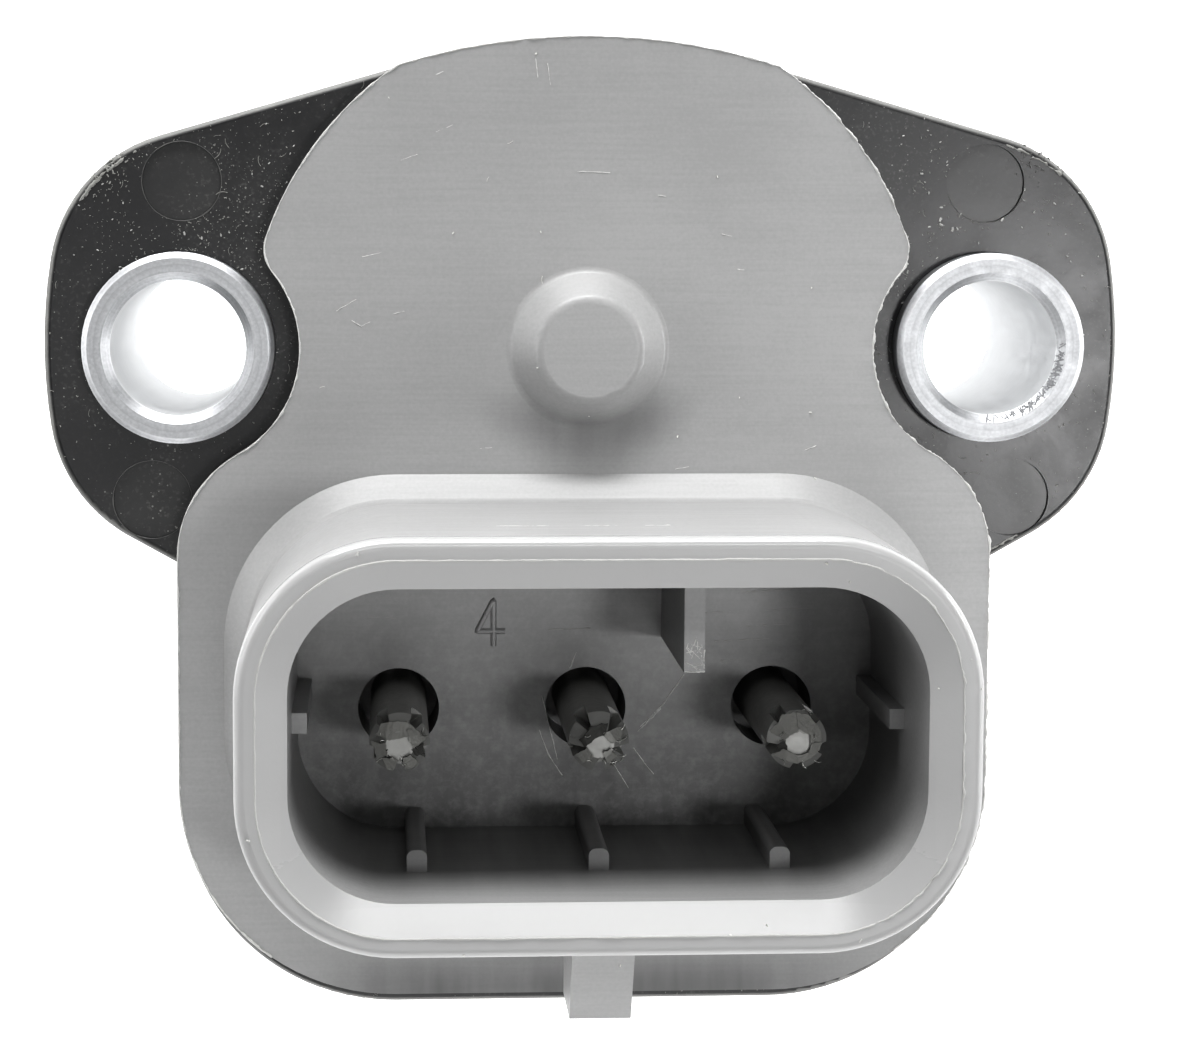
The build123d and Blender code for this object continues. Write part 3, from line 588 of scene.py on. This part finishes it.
def strandTree():
    tree, given = newTree("strand", {
        "Step": "Float", "Radius": "Float", "Thinnest": "Float", "Wander": "Float", "Patch": "Float",
        "Seed": "Float", "Material": "Material",
    })
    curve = addNode(tree, "GeometryNodeMeshToCurve", {}, {"Mesh": given["Geometry"]})
    fine = addNode(tree, "GeometryNodeResampleCurve", {"mode": "LENGTH"}, {
        "Curve": curve, "Length": given["Step"],
    })
    place = addNode(tree, "GeometryNodeInputPosition")
    pitch = addNode(tree, mathNode, divide, {0: 1.0, 1: given["Patch"]})
    rough = addNode(tree, noiseNode, {"noise_dimensions": "4D"}, {
        "Vector": place, "W": given["Seed"], "Scale": pitch, "Detail": 3.0, "Roughness": 0.7,
    })
    middle = addNode(tree, vectorNode, subtract, {0: rough.outputs["Color"], 1: (0.5, 0.5, 0.5)})
    shift = addNode(tree, vectorNode, {"operation": "SCALE"}, {0: middle, "Scale": given["Wander"]})
    moved = addNode(tree, "GeometryNodeSetPosition", {}, {"Geometry": fine, "Offset": shift})
    swell = addNode(tree, rangeNode, {}, {
        "Value": rough, fromSpan: strandShape["swellSpan"], toSpan: (given["Thinnest"], 1.0),
    })
    thick = addNode(tree, mathNode, multiply, {0: swell, 1: given["Radius"]})
    ring = addNode(tree, "GeometryNodeCurvePrimitiveCircle", {}, {
        "Resolution": strandShape["sides"], "Radius": 1.0,
    })
    skin = addNode(tree, "GeometryNodeCurveToMesh", {}, {
        "Curve": moved, "Profile Curve": ring, "Scale": thick, "Fill Caps": True,
    })
    closeTree(tree, skin, given["Material"])
    return tree


# Short bent fibres strewn over the open part of a surface, densest round one place
fibreShape = {"heapSpan": (-0.08, 0.12), "clearance": 6, "points": 5, "sides": 4, "shortest": 0.3}


def litterTree():
    tree, given = newTree("litter", {
        "Density": "Float", "Seed": "Int", "Patch": "Float", "Sparse": "Float", "Centre": "Vector",
        "Reach": "Float", "Length": "Float", "Slim": "Float", "Bend": "Float", "Tilt": "Float",
        "Lift": "Float", "Above": "Object", "Material": "Material",
    })
    sown = addNode(tree, "GeometryNodeDistributePointsOnFaces", {}, {
        "Mesh": given["Geometry"], "Density": given["Density"], "Seed": given["Seed"],
    })
    # Points in thin patches, far from the centre or under a roof are dropped
    place = addNode(tree, "GeometryNodeInputPosition")
    pitch = addNode(tree, mathNode, divide, {0: 1.0, 1: given["Patch"]})
    drift = addNode(tree, noiseNode, {}, {"Vector": place, "Scale": pitch, "Detail": 2.0})
    sparse = addNode(tree, mathNode, subtract, {0: drift, 1: given["Sparse"]})
    heap = addNode(tree, rangeNode, {}, {"Value": sparse, fromSpan: fibreShape["heapSpan"]})
    away = addNode(tree, vectorNode, distance, {0: place, 1: given["Centre"]})
    near = addNode(tree, rangeNode, {}, {"Value": away, fromSpan: (0.0, given["Reach"]), toSpan: (1.0, 0.0)})
    chance = allOf(tree, heap, near)
    dice = addNode(tree, randomNode, {}, {seedSocket: given["Seed"]})
    missed = addNode(tree, "FunctionNodeCompare", greaterThan, {0: dice, 1: chance})
    roof = addNode(tree, "GeometryNodeObjectInfo", {}, {"Object": given["Above"]})
    up = addNode(tree, "GeometryNodeRaycast", {}, {
        "Target Geometry": roof.outputs["Geometry"], "Ray Direction": (0.0, 0.0, 1.0),
        "Ray Length": fibreShape["clearance"] * mm,
    })
    dropped = addNode(tree, "FunctionNodeBooleanMath", {"operation": "OR"}, {
        0: missed, 1: up.outputs["Is Hit"],
    })
    left = addNode(tree, "GeometryNodeDeleteGeometry", {}, {
        "Geometry": sown.outputs["Points"], "Selection": dropped,
    })
    rise = addNode(tree, joinNode, {}, {"Z": given["Lift"]})
    raised = addNode(tree, "GeometryNodeSetPosition", {}, {"Geometry": left, "Offset": rise})
    # One fibre, laid on the points that are left
    bow = addNode(tree, joinNode, {}, {"Y": given["Bend"]})
    fibre = addNode(tree, "GeometryNodeCurveQuadraticBezier", {}, {
        "Resolution": fibreShape["points"], "Start": (-0.5, 0.0, 0.0), "Middle": bow, "End": (0.5, 0.0, 0.0),
    })
    ring = addNode(tree, "GeometryNodeCurvePrimitiveCircle", {}, {
        "Resolution": fibreShape["sides"], "Radius": given["Slim"],
    })
    skin = addNode(tree, "GeometryNodeCurveToMesh", {}, {
        "Curve": fibre, "Profile Curve": ring, "Fill Caps": True,
    })
    back = addNode(tree, mathNode, multiply, {0: given["Tilt"], 1: -1.0})
    leastTurn = addNode(tree, joinNode, {}, {"X": back, "Y": back, "Z": 0.0})
    mostTurn = addNode(tree, joinNode, {}, {"X": given["Tilt"], "Y": given["Tilt"], "Z": math.tau})
    turn = addNode(tree, randomNode, {"data_type": "FLOAT_VECTOR"}, {
        vectorSpan: (leastTurn, mostTurn), seedSocket: given["Seed"],
    })
    shortest = addNode(tree, mathNode, multiply, {0: given["Length"], 1: fibreShape["shortest"]})
    length = addNode(tree, randomNode, {}, {
        floatSpan: (shortest, given["Length"]), seedSocket: given["Seed"],
    })
    laid = addNode(tree, "GeometryNodeInstanceOnPoints", {}, {
        "Points": raised, "Instance": skin, "Rotation": turn, "Scale": length,
    })
    closeTree(tree, laid, given["Material"])
    return tree


strand = strandTree()
litter = litterTree()
mergeReach = 0.001
levelSlack = 0.02


def grow(name, mesh, tree, settings):
    piece = bpy.data.objects.new(name, mesh)
    scene.collection.objects.link(piece)
    modifier = piece.modifiers.new("grow", "NODES")
    modifier.node_group = tree
    sockets = {item.name: item.identifier for item in tree.interface.items_tree if item.in_out == "INPUT"}
    for label, value in settings.items():
        modifier[sockets[label]] = value
    grown = bpy.data.meshes.new_from_object(piece.evaluated_get(bpy.context.evaluated_depsgraph_get()))
    piece.modifiers.remove(modifier)
    piece.data = grown
    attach(piece, "housing")
    print("grew", name, len(grown.polygons), "faces")


def lay(name, paths, setup, finish):
    grow(name, paths, strand, {
        "Step": setup["step"] * mm, "Radius": setup["radius"] * mm, "Thinnest": setup["thinnest"],
        "Wander": setup["wander"] * mm, "Patch": setup["patch"] * mm, "Seed": setup["seed"],
        "Material": made[finish],
    })


def sprinkle(name, faces, setup, centre, above):
    grow(name, faces, litter, {
        "Density": setup["density"] / mm ** 2, "Seed": setup["seed"], "Patch": setup["patch"] * mm,
        "Sparse": setup["sparse"], "Centre": Vector(centre) * mm, "Reach": setup["reach"] * mm,
        "Length": setup["length"] * mm, "Slim": setup["slim"], "Bend": setup["bend"], "Tilt": setup["tilt"],
        "Lift": setup["lift"] * mm, "Above": nodes[above], "Material": made[setup["finish"]],
    })


def mergedCopy(*names):
    shape = bmesh.new()
    for name in names:
        shape.from_mesh(nodes[name].data)
    bmesh.ops.remove_doubles(shape, verts=shape.verts, dist=mergeReach * mm)
    shape.normal_update()
    return shape


def keptFaces(name, test, *names):
    shape = mergedCopy(*names)
    bmesh.ops.delete(shape, geom=[face for face in shape.faces if not test(face)], context="FACES")
    mesh = bpy.data.meshes.new(name)
    shape.to_mesh(mesh)
    shape.free()
    return mesh


def keptEdges(name, test, *names):
    shape = mergedCopy(*names)
    edges = [edge for edge in shape.edges if len(edge.link_faces) == 2 and test(edge)]
    # a set would change the points' order from run to run
    points = list(dict.fromkeys(vert for edge in edges for vert in edge.verts))
    order = {vert: i for i, vert in enumerate(points)}
    pairs = [[order[vert] for vert in edge.verts] for edge in edges]
    mesh = bpy.data.meshes.new(name)
    mesh.from_pydata([vert.co[:] for vert in points], pairs, [])
    shape.free()
    return mesh


def pathMesh(name, paths, height):  # a point with its own height keeps it
    points = []
    edges = []
    for path in paths:
        first = len(points)
        points += [Vector([*point, height][:3]) * mm for point in path]
        edges += [(i, i + 1) for i in range(first, len(points) - 1)]
    mesh = bpy.data.meshes.new(name)
    mesh.from_pydata(points, edges, [])
    return mesh


def onLevel(edge, height):
    return all(abs(vert.co.z - height * mm) < levelSlack * mm for vert in edge.verts)


def slopesOf(edge):
    return sorted(face.normal.z for face in edge.link_faces)


def middleOf(edge):
    return (edge.verts[0].co + edge.verts[1].co) / 2 / mm


def apart(edge, spot):
    return (middleOf(edge).xy - Vector(spot)).length


# Torn flash along the plate's outline and where the rim meets the lead-in, rougher on the right
plateEdge = {
    "finish": "torn_polyester_flash", "level": plateLevel, "lowSlope": (-0.05, 0.05), "lowest": -26.5,
}
rimEdge = {"finish": "rubbed_polyester", "level": rimLevel, "lowSlope": (0.875, 0.895), "lowest": -30}
topSlope = 0.95
flash = {
    "plate_flash": {
        **plateEdge, "span": (-30, 6),
        "step": 0.11, "radius": 0.065, "thinnest": 0.25, "wander": 0.1, "patch": 0.6, "seed": 3.0,
    },
    "plate_flash_right": {
        **plateEdge, "span": (6, 30),
        "step": 0.1, "radius": 0.085, "thinnest": 0.1, "wander": 0.2, "patch": 0.5, "seed": 4.0,
    },
    "rim_flash": {
        **rimEdge, "span": (-30, 9),
        "step": 0.1, "radius": 0.06, "thinnest": 0.45, "wander": 0.07, "patch": 0.9, "seed": 8.0,
    },
    "rim_flash_right": {
        **rimEdge, "span": (9, 30),
        "step": 0.09, "radius": 0.065, "thinnest": 0.3, "wander": 0.24, "patch": 0.7, "seed": 9.0,
    },
}


def torn(edge, setup):
    lower, upper = slopesOf(edge)
    sloped = setup["lowSlope"][0] < lower < setup["lowSlope"][1] and upper > topSlope
    middle = middleOf(edge)
    within = setup["span"][0] < middle.x < setup["span"][1] and middle.y > setup["lowest"]
    return onLevel(edge, setup["level"]) and sloped and within


for name, setup in flash.items():
    edges = keptEdges(name, lambda edge: torn(edge, setup), "connector_cover")
    lay(name, edges, setup, setup["finish"])

# Chips along the base's upper edge, and the thin witness line round the ejector discs
upperX, upperY = ejectorDiscs["upper"]
lowerX, lowerY = ejectorDiscs["lower"]
baseMarks = {
    "chips": ((-21.1, 8.05), (19.2, 8.5), (18.7, -8.8)),
    "chipReach": 1.7,
    "chipSlopes": (0.5, 0.9999),
    "chip": {"step": 0.08, "radius": 0.11, "thinnest": 0.0, "wander": 0.3, "patch": 0.45, "seed": 31.0},
    # each disc, and how high over its middle the line goes
    "discs": {(-upperX, upperY): 2.0, (-lowerX, lowerY): 2.0, (upperX, upperY): -0.6},
    "discSlack": 0.05,
    "witness": {"step": 0.08, "radius": 0.035, "thinnest": 0.3, "wander": 0.03, "patch": 0.6, "seed": 32.0},
}


def chipped(edge):
    lower, upper = slopesOf(edge)
    steepest, flattest = baseMarks["chipSlopes"]
    near = any(apart(edge, spot) < baseMarks["chipReach"] for spot in baseMarks["chips"])
    return near and onLevel(edge, earLevel) and steepest < lower < flattest < upper


def discRim(edge):
    return onLevel(edge, earLevel) and any(
        abs(apart(edge, spot) - ejectorDiscs["size"] / 2) < baseMarks["discSlack"]
        and middleOf(edge).y - spot[1] < top
        for spot, top in baseMarks["discs"].items()
    )


chipEdges = keptEdges("chipEdges", chipped, "base_housing")
lay("ear_chips", chipEdges, baseMarks["chip"], "chipped_polyester")
discEdges = keptEdges("discEdges", discRim, "base_housing")
lay("disc_witness", discEdges, baseMarks["witness"], "scuffed_polyester")

# Crossed scores on the end of the key rib
ribEnd = {
    "count": 22, "x": (3.36, 4.02), "y": (-12.45, -11.1), "length": (0.2, 0.6),
    "step": 0.05, "radius": 0.032, "thinnest": 0.1, "wander": 0.12, "patch": 0.25, "seed": 22.0,
}
dice = random.Random(int(ribEnd["seed"]))
scores = []
for i in range(ribEnd["count"]):
    start = Vector((dice.uniform(*ribEnd["x"]), dice.uniform(*ribEnd["y"])))
    angle = dice.uniform(0, math.tau)
    end = start + Vector((math.cos(angle), math.sin(angle))) * dice.uniform(*ribEnd["length"])
    end.x = min(max(end.x, ribEnd["x"][0]), ribEnd["x"][1])
    end.y = min(max(end.y, ribEnd["y"][0]), ribEnd["y"][1])
    scores.append([start[:], end[:]])
lay("key_rib_scores", pathMesh("ribScores", scores, keyLevel), ribEnd, "scored_polyester")

# Score marks that plugs have left on the floor, scratches on the wall and the plate, and the key rib's burr
marks = {
    "floor_scores": {
        "finish": "scored_polyester", "level": floorLevel,
        "step": 0.08, "radius": 0.045, "thinnest": 0.2, "wander": 0.06, "patch": 0.5, "seed": 2.0,
        "paths": [
            [(4.3, -14.2), (3.4, -15.5), (2.4, -16.5)],
            [(2.1, -17.4), (2.6, -18.1), (3.0, -18.6)],
            [(-0.4, -13.2), (-0.7, -13.9)],
            [(-2.0, -16.6), (-1.6, -17.7), (-1.0, -18.6)],
            [(3.3, -15.7), (2.3, -16.7)],
            [(1.3, -18.2), (1.9, -19.2)],
            [(-1.9, -15.1), (-1.2, -17.9)],
        ],
    },
    "floor_rubs": {
        "finish": "rubbed_polyester", "level": floorLevel,
        "step": 0.08, "radius": 0.03, "thinnest": 0.0, "wander": 0.08, "patch": 0.4, "seed": 7.0,
        "paths": [
            [(5.2, -10.1), (6.7, -10.05)],
            [(6.6, -10.6), (8.9, -10.5)],
            [(7.0, -12.1), (8.7, -12.0)],
            [(5.6, -12.75), (8.0, -12.65)],
            [(7.8, -11.4), (10.2, -11.3)],
            [(5.0, -11.5), (6.3, -11.45)],
            [(8.6, -9.6), (9.6, -9.55)],
            [(5.9, -13.6), (6.8, -13.55)],
            [(-1.6, -12.2), (0.2, -12.15)],
            [(-9.4, -11.6), (-8.2, -11.65)],
        ],
    },
    "wall_scratches": {
        "finish": "scored_polyester", "level": 19.6,
        "step": 0.06, "radius": 0.03, "thinnest": 0.0, "wander": 0.09, "patch": 0.35, "seed": 10.0,
        "paths": [
            [(-0.95, -6.5), (0.5, -6.5)],
            [(-4.6, -6.5), (-2.2, -6.5)],
            [(1.6, -6.5), (2.6, -6.5)],
        ],
    },
    "plate_scratches": {
        "finish": "scored_polyester", "level": plateLevel,
        "step": 0.06, "radius": 0.026, "thinnest": 0.1, "wander": 0.08, "patch": 0.3, "seed": 5.0,
        "paths": [
            [(-6.5, 11.6), (-6.2, 11.75)],
            [(-2.3, 12.3), (-2.2, 11.5)],
            [(-1.8, 12.1), (-1.65, 11.2)],
            [(-6.5, 9.2), (-5.8, 9.5)],
            [(-8.0, 8.0), (-7.3, 8.25)],
            [(-0.5, 7.55), (0.9, 7.5)],
            [(2.95, 6.55), (3.3, 6.5)],
            [(5.7, 4.9), (6.15, 4.8)],
            [(6.4, 3.4), (6.7, 3.35)],
            [(-9.65, 3.9), (-8.8, 4.1)],
            [(-10.75, 1.6), (-9.9, 2.1)],
            [(-10.1, 1.2), (-9.7, 0.95), (-9.3, 1.15)],
            [(-8.4, 1.45), (-7.85, 1.6)],
            [(-4.6, -4.3), (-4.1, -4.25)],
            [(3.8, -5.2), (4.4, -5.1)],
            [(9.4, -4.4), (9.9, -4.2)],
        ],
    },
    "key_rib_burr": {
        "finish": "scored_polyester", "level": keyLevel,
        "step": 0.05, "radius": 0.07, "thinnest": 0.2, "wander": 0.16, "patch": 0.3, "seed": 6.0,
        "paths": [
            [(3.32, -12.5), (4.1, -12.52)],
            [(4.1, -12.4), (4.08, -11.6)],
        ],
    },
}
for name, setup in marks.items():
    lay(name, pathMesh(name, setup["paths"], setup["level"]), setup, setup["finish"])

# The cavity number in the mouth's floor, with its strokes measured to the left and down from its place
cavityNumber = {
    "place": (-3.45, -10.9), "strokes": [[(0.55, 2.0), (0.55, 0.0), (1.25, 1.35), (0.05, 1.35)]],
    "step": 0.05, "radius": 0.13, "thinnest": 1.0, "wander": 0.0, "patch": 1.0, "seed": 1.0,
}
numberX, numberY = cavityNumber["place"]
numberPaths = [[(numberX - x, numberY - y) for x, y in stroke] for stroke in cavityNumber["strokes"]]
lay("cavity_number", pathMesh("numberPaths", numberPaths, floorLevel), cavityNumber, "grey_polyester")

# Chatter of the countersink on the lower right of the right sleeve's bore: short ticks up its chamfer
boreChatter = {
    "chamfer": 0.35, "count": 90, "angles": (-104, 12), "mostAt": -24, "skew": 4,
    "start": (0, 0.45), "end": (0.5, 1),
    "step": 0.03, "radius": 0.042, "thinnest": 0.35, "wander": 0.03, "patch": 0.15, "seed": 33.0,
}
chamferFoot = Vector((boreRadius, sleeveLevel - boreChatter["chamfer"]))
chamferHead = Vector((boreRadius + boreChatter["chamfer"], sleeveLevel))
dice = random.Random(int(boreChatter["seed"]))
ticks = []
for i in range(boreChatter["count"]):
    angle = dice.triangular(*boreChatter["angles"], boreChatter["mostAt"])
    tick = []
    for share in (dice.uniform(*boreChatter["start"]), dice.uniform(*boreChatter["end"])):
        radius, height = chamferFoot.lerp(chamferHead, share)
        turn = math.radians(angle + dice.uniform(-1, 1) * boreChatter["skew"])
        tick.append((holeX + radius * math.cos(turn), radius * math.sin(turn), height))
    ticks.append(tick)
tickPaths = pathMesh("chatterTicks", ticks, sleeveLevel)
lay("bore_chatter", tickPaths, boreChatter, "tarnished_zinc")

# Dust and lint: what it lies on, how much for each square millimetre, where, and how big
strewing = {"patch": 3, "tilt": 0.12, "liftShare": 0.4}
flat, anyUpward = (0.97, 1.1), (0.3, 1.1)
earTop = {"on": "base_housing", "levels": (earLevel - levelSlack, earLevel + levelSlack), "slopes": flat}
earCorner = {"on": "base_housing", "levels": (10.3, earLevel + levelSlack), "slopes": anyUpward}
coverTop = {
    "on": "connector_cover", "levels": (plateLevel - levelSlack, plateLevel + levelSlack), "slopes": flat,
}
wholeCover = {"on": "connector_cover", "levels": (plateLevel - levelSlack, 23.0), "slopes": anyUpward}
strewn = {
    "left_ear_dust": {
        **earTop, "density": 22, "sparse": 0.42, "centre": (-16.6, 5.4), "reach": 6.5,
        "length": 0.1, "slim": 0.26, "bend": 0.1, "seed": 11, "finish": "grey_dust",
    },
    "right_ear_dust": {
        **earTop, "density": 7, "sparse": 0.44, "centre": (15.5, 6.0), "reach": 7.5,
        "length": 0.1, "slim": 0.26, "bend": 0.1, "seed": 12, "finish": "grey_dust",
    },
    "outer_ear_dust": {
        **earTop, "density": 2.6, "sparse": 0.46, "centre": (0, 0), "reach": 60.0,
        "length": 0.13, "slim": 0.26, "bend": 0.1, "seed": 13, "finish": "grey_dust",
    },
    "left_ear_flecks": {
        **earTop, "density": 1.6, "sparse": 0.44, "centre": (-16.6, 5.0), "reach": 8.0,
        "length": 0.19, "slim": 0.3, "bend": 0.3, "seed": 24, "finish": "rubbed_polyester",
    },
    "right_ear_flecks": {
        **earTop, "density": 2.6, "sparse": 0.42, "centre": (17.0, 5.0), "reach": 8.0,
        "length": 0.21, "slim": 0.3, "bend": 0.3, "seed": 25, "finish": "rubbed_polyester",
    },
    "left_corner_crumbs": {
        **earCorner, "density": 45, "sparse": 0.35, "centre": (-21.0, 8.1), "reach": 1.9,
        "length": 0.26, "slim": 0.22, "bend": 0.25, "seed": 18, "finish": "chipped_polyester",
    },
    "right_corner_crumbs": {
        **earCorner, "density": 32, "sparse": 0.4, "centre": (19.9, 8.3), "reach": 1.7,
        "length": 0.24, "slim": 0.2, "bend": 0.25, "seed": 19, "finish": "scuffed_polyester",
    },
    "ear_lint": {
        **earTop, "density": 0.5, "sparse": 0.46, "centre": (0, 6), "reach": 45.0,
        "length": 0.7, "slim": 0.03, "bend": 0.3, "seed": 14, "finish": "grey_dust",
    },
    "cover_lint": {
        **coverTop, "density": 0.16, "sparse": 0.5, "centre": (2, 0), "reach": 60.0,
        "length": 0.5, "slim": 0.035, "bend": 0.2, "seed": 15, "finish": "pale_lint",
    },
    "cover_specks": {
        **wholeCover, "density": 0.3, "sparse": 0.5, "centre": (0, -6), "reach": 60.0,
        "length": 0.16, "slim": 0.3, "bend": 0.1, "seed": 16, "finish": "pale_lint",
    },
}


def exposed(face, setup):
    level = face.calc_center_median().z / mm
    upright = setup["slopes"][0] < face.normal.z < setup["slopes"][1]
    return upright and setup["levels"][0] < level < setup["levels"][1]


for name, setup in strewn.items():
    faces = keptFaces(name, lambda face: exposed(face, setup), setup["on"])
    lift = strewing["liftShare"] * setup["slim"] * setup["length"]
    centre = (*setup["centre"], setup["levels"][0])
    sprinkle(name, faces, {**strewing, **setup, "lift": lift}, centre, "connector_cover")

# Tin folded over the pins' sheared noses: outlines of the flaps from each pin's axis, seen from the front.
# The flaps' greyer tin and the dark sheets in their creases are painted shade
pinFlaps = {
    "noseSize": 1.15, "droop": 0.6, "lift": 0.03, "thick": 0.06, "ragged": 0.035, "step": 0.11, "seed": 23,
    "pin_flaps": {
        "finish": "shaded_folded_tin",
        "shapes": {
            "left_terminal": [
                [
                    (-0.99, 0.41), (-0.72, 0.88), (-0.24, 0.97), (0.3, 0.95),
                    (0.64, 0.68), (0.3, 0.38), (-0.45, 0.24),
                ],
                [(0.3, 0.66), (0.7, 0.61), (1.07, 0.24), (0.57, -0.11), (0.38, 0.2)],
                [(-0.72, -0.5), (-0.3, -0.42), (-0.06, -0.56), (-0.16, -0.95), (-0.51, -0.98)],
                [(0.16, -0.44), (0.45, -0.35), (0.8, -0.72), (0.43, -0.95), (0.16, -0.9)],
                [(-1.12, 0.14), (-0.56, 0.14), (-0.5, -0.35), (-0.92, -0.54)],
            ],
            "centre_terminal": [
                [(0.1, 0.45), (0.88, 0.72), (0.92, 0.27), (0.41, 0.02)],
                [(-0.98, -0.45), (-0.54, -0.1), (-0.25, -0.45), (-0.68, -0.82)],
                [(0.07, -0.3), (0.45, -0.16), (0.68, -0.56), (0.34, -0.82)],
            ],
            "right_terminal": [
                [
                    (-1.2, 0.42), (-0.8, 0.78), (-0.66, 1.1), (-0.02, 1.2),
                    (0.0, 0.48), (-0.4, 0.32), (-0.6, 0.1),
                ],
                [
                    (-0.12, 1.22), (0.42, 1.08), (0.86, 0.54), (0.95, -0.08),
                    (0.5, -0.1), (0.4, 0.32), (-0.06, 0.5),
                ],
                [
                    (0.95, 0.02), (0.8, -0.35), (0.52, -0.64), (-0.12, -0.88),
                    (-0.16, -0.5), (0.32, -0.4), (0.5, 0.0),
                ],
                [
                    (-0.02, -0.87), (-0.47, -0.76), (-1.08, -0.47), (-0.62, -0.22),
                    (-0.4, -0.32), (-0.06, -0.5),
                ],
            ],
        },
    },
    # dark sheets of painted shade in the flaps' creases
    "pin_folds": {
        "finish": "crease_shade_tin",
        "shapes": {
            "left_terminal": [[(0.5, -0.1), (0.98, 0.05), (1.0, -0.4), (0.6, -0.42)]],
            "centre_terminal": [
                [(-0.85, 0.15), (-0.35, 0.75), (0.3, 0.85), (0.22, 0.45), (-0.27, 0.2), (-0.62, -0.12)],
            ],
            "right_terminal": [[(-0.9, -0.1), (-0.6, 0.12), (-0.5, -0.25), (-0.78, -0.3)]],
        },
    },
}
dice = random.Random(pinFlaps["seed"])


def pinAxis(node):  # the pin is at its node's low end along Y, and the lead runs back from it
    low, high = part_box(node)
    radius = (high.x - low.x) / 2
    return round((low.x + high.x) / 2 / mm, 2), round((low.y + radius) / mm, 2)


def raggedOutline(outline):
    points = []
    for i, corner in enumerate(outline):
        first, last = Vector(corner), Vector(outline[(i + 1) % len(outline)])
        count = max(1, round((last - first).length / pinFlaps["step"]))
        for j in range(count):
            jitter = Vector((dice.uniform(-1, 1), dice.uniform(-1, 1))) * pinFlaps["ragged"]
            points.append(first.lerp(last, j / count) + jitter)
    return points


for name in ("pin_flaps", "pin_folds"):
    shape = bmesh.new()
    for node, outlines in pinFlaps[name]["shapes"].items():
        axisX, axisY = pinAxis(node)
        for k, outline in enumerate(outlines):
            top, foot = [], []
            for point in raggedOutline(outline):
                sag = pinFlaps["droop"] * max(0.0, point.length - pinFlaps["noseSize"] / 2)
                under = pinLevel + pinFlaps["lift"] * (k + 1) - sag
                for ring, height in ((top, under + pinFlaps["thick"]), (foot, under)):
                    ring.append(shape.verts.new(Vector((axisX + point.x, axisY + point.y, height)) * mm))
            shape.faces.new(top)
            shape.faces.new(foot[::-1])
            for i in range(len(top)):
                shape.faces.new((top[i - 1], foot[i - 1], foot[i], top[i]))
    bmesh.ops.triangulate(shape, faces=shape.faces[:])
    bmesh.ops.recalc_face_normals(shape, faces=shape.faces[:])
    mesh = bpy.data.meshes.new(name)
    shape.to_mesh(mesh)
    shape.free()
    mesh.materials.append(made[pinFlaps[name]["finish"]])
    piece = bpy.data.objects.new(name, mesh)
    scene.collection.objects.link(piece)
    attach(piece, "housing")
    print("folded", name, len(mesh.polygons), "faces")

# Curled burrs all over the noses; the sleeve given as their roof is above none of them
pinBurrs = {
    "lowest": 17.6, "slopes": (0.2, 0.97), "density": 5, "sparse": 0.3, "patch": 3, "reach": 10000,
    "length": 0.45, "slim": 0.07, "bend": 0.45, "tilt": 0.5, "lift": 0.1, "seed": 21, "finish": "sheared_tin",
}


def onNose(face):
    high = face.calc_center_median().z > pinBurrs["lowest"] * mm
    return high and pinBurrs["slopes"][0] < face.normal.z < pinBurrs["slopes"][1]


noses = keptFaces("pinNoses", onNose, "left_terminal", "centre_terminal", "right_terminal")
sprinkle("pin_burrs", noses, pinBurrs, (0, 0, 0), "left_sleeve")

print("finishing")
